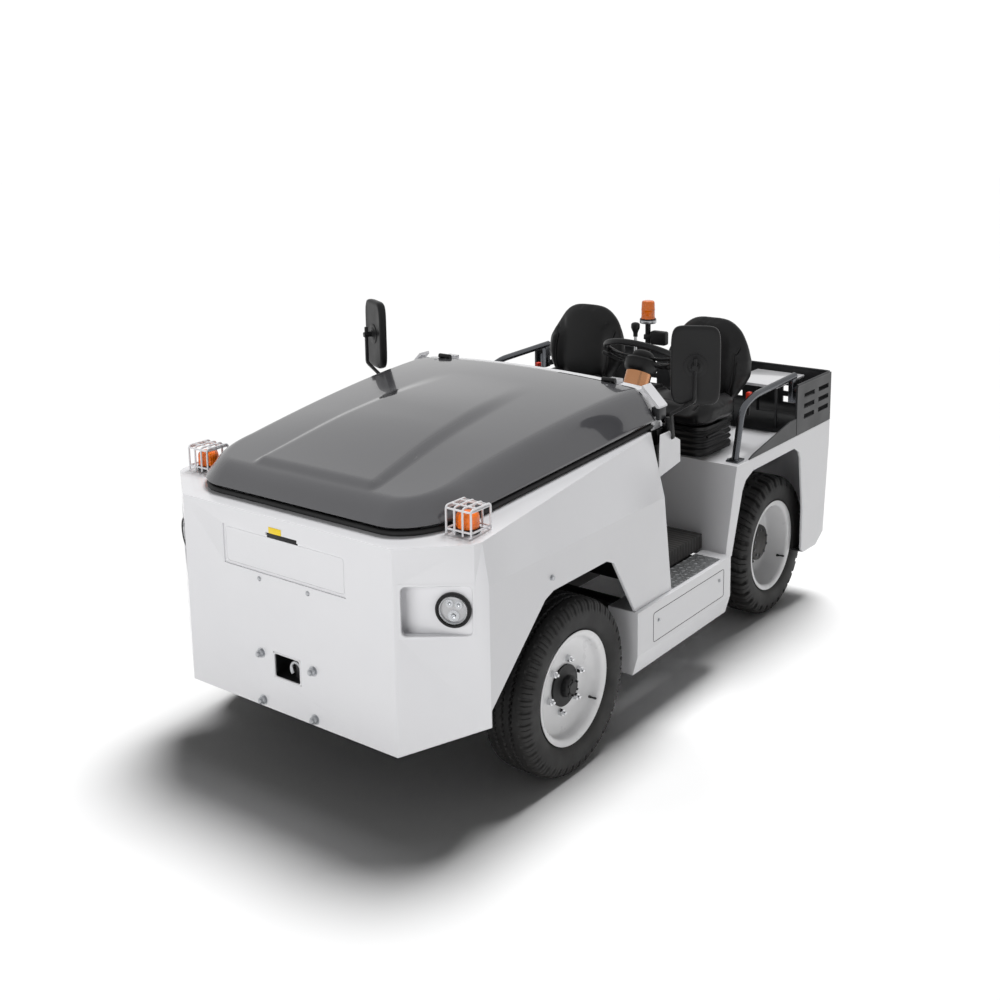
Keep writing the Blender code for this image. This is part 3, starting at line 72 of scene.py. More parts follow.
UP = np.array([0.0, 0.0, 1.0])
WHITE_LIGHT = (1.0, 1.0, 1.0, 1.0)

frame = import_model()


# ------------------------------------------------------------------------------------------ finishes
def hex_linear(code: str) -> tuple[float, float, float, float]:
    """Turn an sRGB hex colour into the linear colour that a shader needs.

    Args:
        code: Six hex digits after a hash sign.

    Returns:
        Red, green, blue and an alpha of one.
    """
    srgb = np.array([int(code[i:i + 2], 16) for i in (1, 3, 5)]) / 255.0
    linear = np.where(srgb <= 0.04045, srgb / 12.92, ((srgb + 0.055) / 1.055) ** 2.4)
    return (*linear.tolist(), 1.0)


def add_node(tree: bpy.types.NodeTree, kind: str, inputs: dict | None = None, **settings) -> bpy.types.Node:
    """Add one shader node with its settings, values and links.

    Args:
        tree: The node tree that gets the node.
        kind: The node's type name.
        inputs: Value or source socket for each input, by name or number.
        settings: Attributes of the node itself.

    Returns:
        The new node.
    """
    made = tree.nodes.new(kind)
    for key, value in settings.items():
        setattr(made, key, value)
    for key, value in (inputs or {}).items():
        if isinstance(value, bpy.types.NodeSocket):
            tree.links.new(value, made.inputs[key])
        else:
            made.inputs[key].default_value = value
    return made


class Grain(Enum):
    """How the fine relief of a surface was made."""

    SPRAYED = "orange peel of sprayed paint"
    MOULDED = "spark-eroded mould texture"
    LEATHER = "embossed leather pebble"
    BRUSHED = "fine lines along one way"
    RIBBED = "narrow moulded ribs"
    CLEAR = "polished, no relief"


@dataclass(frozen=True)
class Finish:
    """One real surface: its colours, gloss, grain and the dust on it."""

    name: str
    colour: str
    shade: str
    rough: float
    grain: Grain = Grain.SPRAYED
    grain_size: float = 4.0 * MM
    relief: float = 0.02 * MM
    spread: float = 0.06
    patch: float = 0.35
    metallic: float = 0.0
    ior: float = 1.5
    coat: float = 0.0
    coat_rough: float = 0.03
    transmission: float = 0.0
    alpha: float = 1.0
    dust: float = 0.0
    dust_top: float = 0.55
    slot: str = "steel"

    def material(self) -> bpy.types.Material:
        """Return the node material of this finish, made once and shared."""
        known = bpy.data.materials.get(self.name)
        if known:
            return known
        made = bpy.data.materials.new(self.name)
        made.use_nodes = True
        tree = made.node_tree
        shader = tree.nodes["Principled BSDF"]
        place = add_node(tree, "ShaderNodeTexCoord").outputs["Object"]
        shader.inputs["Metallic"].default_value = self.metallic
        if self.metallic < 0.5:
            shader.inputs["IOR"].default_value = self.ior
        shader.inputs["Coat Weight"].default_value = self.coat
        shader.inputs["Coat Roughness"].default_value = self.coat_rough
        shader.inputs["Transmission Weight"].default_value = self.transmission
        shader.inputs["Alpha"].default_value = self.alpha
        tree.links.new(self.colours(tree, place), shader.inputs["Base Color"])
        tree.links.new(self.gloss(tree, place), shader.inputs["Roughness"])
        if self.relief > 0.0:
            tree.links.new(self.bump(tree, place), shader.inputs["Normal"])
        return made

    def colours(self, tree: bpy.types.NodeTree, place: bpy.types.NodeSocket) -> bpy.types.NodeSocket:
        """Mix the colour with its shade in slow patches, then add the dust near the ground.

        Args:
            tree: The material's nodes.
            place: Object coordinates.

        Returns:
            The colour socket.
        """
        patches = add_node(tree, "ShaderNodeTexNoise", {"Vector": place, "Scale": 1.0 / self.patch,
                                                        "Detail": 4.0, "Roughness": 0.6})
        mixed = add_node(tree, "ShaderNodeMix", {0: patches.outputs["Fac"], 6: hex_linear(self.colour),
                                                 7: hex_linear(self.shade)}, data_type="RGBA")
        if self.dust <= 0.0:
            return mixed.outputs[2]
        height = add_node(tree, "ShaderNodeSeparateXYZ", {0: place}).outputs["Z"]
        falling = add_node(tree, "ShaderNodeMapRange", {"Value": height, "From Min": 0.05,
                                                        "From Max": self.dust_top, "To Min": self.dust,
                                                        "To Max": 0.0})
        specks = add_node(tree, "ShaderNodeTexNoise", {"Vector": place, "Scale": 28.0, "Detail": 6.0})
        share = add_node(tree, "ShaderNodeMath", {0: falling.outputs[0], 1: specks.outputs["Fac"]},
                         operation="MULTIPLY")
        dusty = add_node(tree, "ShaderNodeMix", {0: share.outputs[0], 6: mixed.outputs[2],
                                                 7: hex_linear("#8d8880")}, data_type="RGBA")
        return dusty.outputs[2]

    def gloss(self, tree: bpy.types.NodeTree, place: bpy.types.NodeSocket) -> bpy.types.NodeSocket:
        """Vary the roughness a little, as handling and cleaning do.

        Args:
            tree: The material's nodes.
            place: Object coordinates.

        Returns:
            The roughness socket.
        """
        smears = add_node(tree, "ShaderNodeTexNoise", {"Vector": place, "Scale": 9.0, "Detail": 5.0})
        low = max(0.0, self.rough - self.spread)
        spread = add_node(tree, "ShaderNodeMapRange", {"Value": smears.outputs["Fac"], "From Min": 0.3,
                                                       "From Max": 0.7, "To Min": low,
                                                       "To Max": self.rough + self.spread})
        return spread.outputs[0]

    def bump(self, tree: bpy.types.NodeTree, place: bpy.types.NodeSocket) -> bpy.types.NodeSocket:
        """Raise the grain of the surface by its relief.

        Args:
            tree: The material's nodes.
            place: Object coordinates.

        Returns:
            The normal socket.
        """
        scale = 1.0 / self.grain_size
        if self.grain is Grain.LEATHER:
            cells = add_node(tree, "ShaderNodeTexVoronoi", {"Vector": place, "Scale": scale},
                             feature="SMOOTH_F1")
            height = cells.outputs["Distance"]
        elif self.grain is Grain.RIBBED:
            lines = add_node(tree, "ShaderNodeTexWave", {"Vector": place, "Scale": scale / 6.3},
                             wave_type="BANDS", bands_direction="Y")
            height = lines.outputs["Fac"]
        else:
            stretch = (12.0, 1.0, 1.0) if self.grain is Grain.BRUSHED else (1.0, 1.0, 1.0)
            held = add_node(tree, "ShaderNodeMapping", {"Vector": place, "Scale": stretch})
            noise = add_node(tree, "ShaderNodeTexNoise", {"Vector": held.outputs[0], "Scale": scale,
                                                          "Detail": 3.0})
            height = noise.outputs["Fac"]
        raised = add_node(tree, "ShaderNodeBump", {"Height": height, "Distance": self.relief,
                                                   "Strength": 1.0})
        return raised.outputs["Normal"]


# Two-pack enamel sprayed on folded sheet steel: a bright, even gloss with faint orange peel.
WHITE_ENAMEL = Finish("white_enamel", "#dfdfe1", "#d8d8db", 0.22, Grain.SPRAYED, 9 * MM, 0.05 * MM,
                      spread=0.04, coat=0.6, coat_rough=0.04, dust=0.10, slot="painted_white")
# Polyester hood moulding in a graphite gel coat: dark, deep gloss that mirrors the room.
GRAPHITE_GEL = Finish("graphite_gel_coat", "#4b4b4e", "#444447", 0.16, Grain.SPRAYED, 30 * MM, 0.03 * MM,
                      spread=0.03, coat=1.0, coat_rough=0.02)
# EPDM edge seal: extruded, matt black with a soft edge light.
EPDM = Finish("epdm_rubber", "#0d0d0e", "#131314", 0.55, Grain.MOULDED, 3 * MM, 0.05 * MM, slot="rubber")
# Tyre tread compound: carbon black rubber, matt, greyed by dust.
TYRE_RUBBER = Finish("tyre_rubber", "#0c0c0d", "#101011", 0.66, Grain.MOULDED, 3 * MM, 0.15 * MM,
                     spread=0.10, dust=0.07, dust_top=0.80, slot="rubber")
# Wheel enamel on pressed steel: as the body, a little softer.
WHEEL_ENAMEL = Finish("wheel_enamel", "#ececed", "#e2e2e3", 0.30, Grain.SPRAYED, 6 * MM, 0.05 * MM,
                      coat=0.3, dust=0.10, dust_top=0.70, slot="painted_white")
# Epoxy powder coat on the tray and brackets: charcoal with a satin sheen.
CHARCOAL_POWDER = Finish("charcoal_powder_coat", "#2a2b2d", "#232426", 0.42, Grain.SPRAYED, 2.5 * MM,
                         0.06 * MM, slot="charcoal")
# Acrylonitrile (ABS) mouldings: black with a fine spark texture.
BLACK_ABS = Finish("black_abs", "#0c0c0d", "#111112", 0.42, Grain.MOULDED, 1.8 * MM, 0.05 * MM, ior=1.40,
                   slot="black_plastic")
# Chassis black: brushed-on anti-rust enamel, dull and dusty.
CHASSIS_BLACK = Finish("chassis_black", "#1b1b1c", "#262627", 0.60, Grain.MOULDED, 7 * MM, 0.15 * MM,
                       dust=0.35, slot="underbody")
# Artificial leather (PVC on foam): black with an embossed pebble, soft highlights.
LEATHERETTE = Finish("black_leatherette", "#0b0b0c", "#0f0f10", 0.42, Grain.LEATHER, 3.5 * MM, 0.16 * MM,
                     spread=0.05, ior=1.40, slot="leatherette")
# Zinc-plated fasteners: bright grey metal.
ZINC = Finish("zinc_plate", "#c3c5c8", "#a9abae", 0.28, Grain.BRUSHED, 2 * MM, 0.03 * MM, metallic=1.0)
# Bent steel tube of the handrails: bare, oiled, dark with long highlights.
RAIL_STEEL = Finish("oiled_steel_tube", "#707276", "#56585c", 0.26, Grain.BRUSHED, 3 * MM, 0.03 * MM,
                    metallic=1.0)
# Chromed wheel nuts: a mirror with dark accents.
CHROME = Finish("chrome_plate", "#dcdddf", "#cfd0d2", 0.08, Grain.CLEAR, relief=0.0, spread=0.03,
                metallic=1.0)
# Forged towing parts: black oxide with worn edges.
FORGED = Finish("forged_steel", "#4a4b4d", "#626365", 0.42, Grain.MOULDED, 5 * MM, 0.15 * MM,
                metallic=0.9)
# Bronze anodised column sleeve: warm metal that shows long highlights.
BRONZE = Finish("bronze_anodised", "#dba67e", "#a5683f", 0.20, Grain.BRUSHED, 3 * MM, 0.04 * MM,
                metallic=1.0, slot="copper")
# Polycarbonate lens, amber: clear and strongly coloured.
AMBER_LENS = Finish("amber_polycarbonate", "#ff8408", "#ff7204", 0.12, Grain.RIBBED, 5 * MM, 0.4 * MM,
                    ior=1.45, coat=0.5, transmission=0.10, slot="amber")
# Polycarbonate lamp cover: clear.
CLEAR_LENS = Finish("clear_polycarbonate", "#ffffff", "#f7fbff", 0.02, Grain.CLEAR, relief=0.0,
                    spread=0.01, ior=1.58, transmission=1.0, slot="amber")
# Thin clear cover of the headlamps: nearly unseen, with a sharp reflection.
THIN_COVER = Finish("thin_clear_cover", "#1a1c1f", "#202226", 0.04, Grain.CLEAR, relief=0.0, spread=0.01,
                    coat=0.3, alpha=0.10, slot="amber")
# Polycarbonate lens, red: deep and clear.
RED_LENS = Finish("red_polycarbonate", "#c01008", "#a00c06", 0.12, Grain.RIBBED, 5 * MM, 0.3 * MM,
                  ior=1.58, coat=0.8, transmission=0.25, slot="amber")
# Toughened glass over an unlit screen: black, mirror smooth.
SCREEN_GLASS = Finish("screen_glass", "#0a0b0c", "#0d0e10", 0.05, Grain.CLEAR, relief=0.0, spread=0.02,
                      coat=1.0, slot="black_plastic")
# Silvered mirror glass and lamp dishes.
SILVERED = Finish("silvered_glass", "#e8eaee", "#dfe2e6", 0.03, Grain.CLEAR, relief=0.0, spread=0.01,
                  metallic=1.0)
# Rolled aluminium tread plate of the steps.
ALUMINIUM = Finish("aluminium_plate", "#b9bbbd", "#9c9ea0", 0.38, Grain.BRUSHED, 2 * MM, 0.05 * MM,
                   metallic=0.9, dust=0.3, dust_top=0.7)
# Bright plastic of belt buckles and the blank tag.
RED_PLASTIC = Finish("orange_red_plastic", "#e2361a", "#cf2c14", 0.35, Grain.MOULDED, slot="black_plastic")
YELLOW_FOIL = Finish("yellow_foil", "#f2d21c", "#e6c412", 0.35, Grain.MOULDED, slot="painted_white")
# Moulded floor mat: black rubber with narrow ribs.
FLOOR_MAT = Finish("rubber_floor_mat", "#1b1b1c", "#232324", 0.7, Grain.RIBBED, 12 * MM, 1.2 * MM,
                   dust=0.3, dust_top=0.8)
# Cell case of the traction battery: grey enamel.
CELL_CASE = Finish("battery_case_enamel", "#4d5154", "#44484b", 0.5, Grain.SPRAYED, 6 * MM, 0.08 * MM)


# ------------------------------------------------------------------------------------------ surfaces
def unit(vectors: Points) -> Points:
    """Scale vectors to length one along their last axis."""
    return vectors / np.maximum(np.linalg.norm(vectors, axis=-1, keepdims=True), 1e-12)


def smooth_step(t: Points | float) -> Points:
    """Ease from zero to one with flat ends: 3t^2 - 2t^3, with t held between zero and one."""
    t = np.clip(t, 0.0, 1.0)
    return t * t * (3.0 - 2.0 * t)


def axes_of(axis: Points) -> tuple[Points, Points, Points]:
    """Two unit vectors square to an axis, and the axis itself.

    Args:
        axis: A direction of any length.

    Returns:
        Side, up and axis, right-handed.
    """
    axis = unit(np.asarray(axis, float))
    guide = np.array([0.0, 0.0, 1.0]) if abs(axis[2]) < 0.9 else np.array([0.0, 1.0, 0.0])
    side = unit(np.cross(guide, axis))
    return side, np.cross(axis, side), axis


def spun(profile: Points, centre: Points, axis: Points, segments: int = 64) -> Points:
    """Surface of revolution: each profile point (radius, height) goes round the axis at its own height.

    Args:
        profile: Rows of radius and height along the axis.
        centre: Point on the axis where the height is zero.
        axis: Direction of the axis.
        segments: Steps of a full turn.

    Returns:
        Grid of segments by profile points by three.
    """
    profile = np.asarray(profile, float)
    side, up, along = axes_of(axis)
    turn = np.arange(segments) * TAU / segments
    ring = np.cos(turn)[:, None] * side + np.sin(turn)[:, None] * up
    return (np.asarray(centre) + ring[:, None, :] * profile[None, :, :1]
            + along * profile[None, :, 1:2])


def swept(path: Points, radius: float | Points, sides: int = 12) -> Points:
    """Tube along a path: a circle of the given radius stands square to the path at each of its points.

    Args:
        path: Points of the centre line.
        radius: One radius, or one for each point.
        sides: Points of the circle.

    Returns:
        Grid of path points by sides by three.
    """
    path = np.asarray(path, float)
    along = unit(np.gradient(path, axis=0))
    spread = np.ptp(along, axis=0)
    guide = np.eye(3)[int(np.argmin(spread + np.abs(along).mean(axis=0)))]
    side = unit(np.cross(guide, along))
    up = np.cross(along, side)
    turn = np.arange(sides) * TAU / sides
    radius = np.broadcast_to(np.asarray(radius, float), (len(path),))
    return (path[:, None, :] + radius[:, None, None]
            * (np.cos(turn)[None, :, None] * side[:, None, :] + np.sin(turn)[None, :, None] * up[:, None, :]))


def rounded_path(corners: Points, radius: float, count: int = 48, closed: bool = False) -> Points:
    """Even points along a line through corners, averaged over a bend's length so that corners are round.

    Args:
        corners: The corner points.
        radius: About the radius of each bend.
        count: How many points the result has.
        closed: Whether the last corner joins the first.

    Returns:
        Points of the smooth path.
    """
    corners = np.asarray(corners, float)
    if closed:
        corners = np.vstack([corners, corners[:1]])
    steps = np.linalg.norm(np.diff(corners, axis=0), axis=1)
    at = np.concatenate([[0.0], np.cumsum(steps)])
    fine = np.linspace(0.0, at[-1], 16 * count + (0 if closed else 1), endpoint=not closed)
    line = np.stack([np.interp(fine, at, corners[:, k]) for k in range(3)], axis=1)
    half = max(1, int(radius / (fine[1] - fine[0])))
    width = 2 * half + 1
    if closed:
        padded = np.vstack([line[-half:], line, line[:half]])
    else:
        padded = np.vstack([2 * line[0] - line[half:0:-1], line, 2 * line[-1] - line[-2:-half - 2:-1]])
    total = np.cumsum(np.vstack([np.zeros((1, 3)), padded]), axis=0)
    mean = (total[width:] - total[:-width]) / width
    picks = np.linspace(0, len(mean) - 1, count).round().astype(int) if not closed else np.arange(count) * 16
    return mean[picks]


def soft_block(centre: Points, half: Points, radius: float, steps: int = 4,
               turn: Matrix | None = None) -> Points:
    """Box with round edges: a small sphere of the radius, pulled apart to the box's eight corners.

    Args:
        centre: Middle of the box.
        half: Half sizes along the box's own axes.
        radius: Radius of the edges.
        steps: Steps of a quarter round.
        turn: Rotation of the box about its middle.

    Returns:
        Grid of latitude by longitude by three, closed round the longitude.
    """
    quarter = np.linspace(0.0, math.pi / 2, steps + 1)
    around = np.concatenate([quarter + k * math.pi / 2 for k in range(4)])
    sign_x = np.repeat([1.0, -1.0, -1.0, 1.0], steps + 1)
    sign_y = np.repeat([1.0, 1.0, -1.0, -1.0], steps + 1)
    rise = np.concatenate([quarter[::-1], -quarter])
    sign_z = np.repeat([1.0, -1.0], steps + 1)
    core = np.asarray(half, float) - radius
    x = sign_x[None, :] * core[0] + radius * np.cos(rise)[:, None] * np.cos(around)[None, :]
    y = sign_y[None, :] * core[1] + radius * np.cos(rise)[:, None] * np.sin(around)[None, :]
    z = np.broadcast_to((sign_z * core[2] + radius * np.sin(rise))[:, None], x.shape)
    grid = np.stack([x, y, z], axis=-1)
    if turn is not None:
        grid = grid @ np.array(turn.to_3x3()).T
    return grid + np.asarray(centre)


def hex_head(centre: Points, axis: Points, across: float, height: float, washer: float = 0.0) -> Points:
    """Hexagon bolt head on a washer: rings whose radius is the flat's half width over the cosine.

    Args:
        centre: Foot of the head on its seat.
        axis: Outward direction.
        across: Width across the flats.
        height: Height of the head.
        washer: Radius of the washer, or zero for none.

    Returns:
        Grid of rings by 48 by three.
    """
    side, up, along = axes_of(axis)
    turn = np.arange(48) * TAU / 48
    six = across / 2 / np.cos((turn + math.pi / 6) % (math.pi / 3) - math.pi / 6)
    round_ = np.full(48, across / 2)
    plate = np.full(48, washer)
    rows = []
    if washer > 0.0:
        rows += [(plate, 0.0), (plate, 2.0 * MM), (six * 1.02, 2.2 * MM)]
    foot = 2.2 * MM if washer > 0.0 else 0.0
    rows += [(six, foot), (six, foot + height * 0.86), (round_ * 0.97, foot + height),
             (round_ * 0.45, foot + height), (round_ * 0.40, foot + height * 0.9)]
    ring = np.cos(turn)[:, None] * side + np.sin(turn)[:, None] * up
    grid = [np.asarray(centre) + ring * radius[:, None] + along * level for radius, level in rows]
    return np.array(grid)


def super_ring(angle: Points, power: float) -> Points:
    """Super-ellipse of half size one: sign of cosine and of sine, times their size to the power."""
    wave = np.stack([np.cos(angle), np.sin(angle)], axis=-1)
    return np.sign(wave) * np.abs(wave) ** power


def full_turn(count: int) -> Points:
    """Evenly spaced angles of a full turn, without its end."""
    return np.linspace(0.0, TAU, count + 1)[:-1]


def fluted(rows: Points, centre: Points, count: int, flutes: int, depth: float) -> Points:
    """Upright turned lens whose radius is multiplied by one plus a shallow cosine round the axis.

    Args:
        rows: Radius and height of each ring.
        centre: Foot of the lens.
        count: Points of a ring.
        flutes: How many flutes go round it.
        depth: Share of the radius by which it swells and falls.

    Returns:
        Grid of rings by count by three.
    """
    turn = full_turn(count)
    flute = 1.0 + depth * np.cos(turn * flutes)
    ring = np.stack([np.cos(turn), np.sin(turn), np.zeros_like(turn)], axis=-1)
    return centre + ring[None] * (rows[:, 0:1] * flute[None])[..., None] + UP * rows[:, 1][:, None, None]


def plate(outline: Points, near: float, far: float) -> Points:
    """Flat plate square to X: its outline (y, z) at two places along X."""
    return np.stack([np.column_stack([np.full(len(outline), at), outline]) for at in (near, far)])


class Pile:
    """Surfaces gathered into one piece."""

    def __init__(self) -> None:
        """Start with no surface."""
        self.points: list[Points] = []
        self.faces: list[list[int]] = []
        self.count = 0

    def grid(self, points: Points, wrap_u: bool = False, wrap_v: bool = True, caps: bool = True) -> "Pile":
        """Add a grid of points as quads.

        Args:
            points: Grid of u by v by three.
            wrap_u: Whether the last row joins the first.
            wrap_v: Whether the last column joins the first.
            caps: Whether the first and last rows are filled.

        Returns:
            The pile itself.
        """
        rows, columns = points.shape[:2]
        index = np.arange(rows * columns).reshape(rows, columns) + self.count
        near = np.vstack([index, index[:1]]) if wrap_u else index
        near = np.hstack([near, near[:, :1]]) if wrap_v else near
        quads = np.stack([near[:-1, :-1], near[:-1, 1:], near[1:, 1:], near[1:, :-1]], axis=-1)
        self.faces += quads.reshape(-1, 4).tolist()
        if caps and wrap_v and not wrap_u:
            self.faces += [index[0, ::-1].tolist(), index[-1].tolist()]
        self.points.append(points.reshape(-1, 3))
        self.count += rows * columns
        return self

    def turned(self, profile: Points, centre: Points, axis: Points, segments: int = 64,
               ring: bool = False) -> "Pile":
        """Add a surface of revolution, closed as a ring or at its two ends.

        Args:
            profile: Rows of radius and height.
            centre: Point on the axis.
            axis: Direction of the axis.
            segments: Steps of a full turn.
            ring: Whether the profile closes on itself.

        Returns:
            The pile itself.
        """
        points = spun(profile, centre, axis, segments).transpose(1, 0, 2)
        return self.grid(points, wrap_u=ring, caps=not ring)

    def tube(self, path: Points, radius: float | Points, sides: int = 12, closed: bool = False) -> "Pile":
        """Add a tube along a path, with flat ends or closed on itself.

        Args:
            path: Points of the centre line.
            radius: Radius, or one for each point.
            sides: Points round the tube.
            closed: Whether the path is a loop.

        Returns:
            The pile itself.
        """
        if not closed:
            return self.grid(swept(path, radius, sides))
        wide = np.vstack([path[-2:], path, path[:2]])
        return self.grid(swept(wide, radius, sides)[2:-2], wrap_u=True)

    def block(self, low: Points, high: Points, radius: float = 1.5 * MM, steps: int = 2) -> "Pile":
        """Add a box with round edges between two corners."""
        low, high = np.asarray(low, float), np.asarray(high, float)
        return self.grid(soft_block((low + high) / 2, (high - low) / 2, radius, steps))

    def build(self, name: str, finish: Finish, body: str, replaced: tuple[str, ...] = (),
              sharp: float = 35.0, outwards: bool = True, slot: str | None = None) -> bpy.types.Object:
        """Make the piece, weld it, turn its faces out, shade it and hang it on its body.

        Args:
            name: Name of the piece.
            finish: Its surface.
            body: The moving body that carries it.
            replaced: Model nodes that it stands for.
            sharp: Angle in degrees above which an edge stays sharp.
            outwards: Whether faces are turned to point out.
            slot: The record's material slot.

        Returns:
            The new object.
        """
        mesh = bpy.data.meshes.new(name)
        mesh.from_pydata(np.vstack(self.points).tolist(), [], self.faces)
        return dress(mesh, name, finish, body, replaced, sharp, outwards, slot)


def dress(mesh: bpy.types.Mesh, name: str, finish: Finish, body: str, replaced: tuple[str, ...] = (),
          sharp: float = 35.0, outwards: bool = True, slot: str | None = None) -> bpy.types.Object:
    """Weld a mesh, shade it, give it its finish and hang it on its body.

    Args:
        mesh: The mesh, in place.
        name: Name of the piece.
        finish: Its surface.
        body: The moving body that carries it.
        replaced: Model nodes that it stands for.
        sharp: Angle in degrees above which an edge stays sharp.
        outwards: Whether faces are turned to point out.
        slot: The record's material slot; not used.

    Returns:
        The new object.
    """
    bm = bmesh.new()
    bm.from_mesh(mesh)
    bmesh.ops.remove_doubles(bm, verts=bm.verts, dist=0.01 * MM)
    bmesh.ops.dissolve_degenerate(bm, edges=bm.edges, dist=0.005 * MM)
    if outwards:
        bmesh.ops.recalc_face_normals(bm, faces=bm.faces)
    bm.to_mesh(mesh)
    bm.free()
    mesh.shade_smooth()
    mesh.set_sharp_from_angle(angle=math.radians(sharp))
    mesh.materials.clear()
    mesh.materials.append(finish.material())
    obj = bpy.data.objects.new(name, mesh)
    bpy.context.scene.collection.objects.link(obj)
    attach(obj, body)
    if replaced:
        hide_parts(*replaced)
    slot = slot or finish.slot
    log.info("%s: %d faces, %s", name, len(mesh.polygons), finish.name)
    return obj


def slot_of(node: str) -> str | None:
    """The record's material slot of a model node."""
    rows = frame["record"].get("subparts", [])
    return next((row["material_slot"] for row in rows if row["node"] == node), None)


def refined(node: str, finish: Finish, bevel: float = 2.0 * MM, angle: float = 25.0,
            segments: int = 2, flat: bool = True) -> bpy.types.Object:
    """Stand a welded copy with softened edges in for a model node.

    Args:
        node: The model node.
        finish: Surface of the copy.
        bevel: Width of the softened edges, or zero for none.
        angle: Edges that turn more than this many degrees are softened.
        segments: Steps across a softened edge.
        flat: Whether coplanar triangles become one face; off for a sheet with holes.

    Returns:
        The copy.
    """
    source = frame["nodes"][node]
    mesh = source.data.copy()
    bm = bmesh.new()
    bm.from_mesh(mesh)
    bmesh.ops.remove_doubles(bm, verts=bm.verts, dist=0.01 * MM)
    if flat:
        bmesh.ops.dissolve_limit(bm, angle_limit=math.radians(0.6), verts=bm.verts, edges=bm.edges)
    bm.to_mesh(mesh)
    bm.free()
    obj = dress(mesh, node + "_finished", finish, source["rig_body"], (node,), 30.0, False, slot_of(node))
    if bevel > 0.0:
        soft = obj.modifiers.new("soft_edges", "BEVEL")
        soft.width = bevel
        soft.segments = segments
        soft.limit_method = "ANGLE"
        soft.angle_limit = math.radians(angle)
        soft.harden_normals = True
        soft.use_clamp_overlap = True
        soft.miter_outer = "MITER_ARC"
    return obj


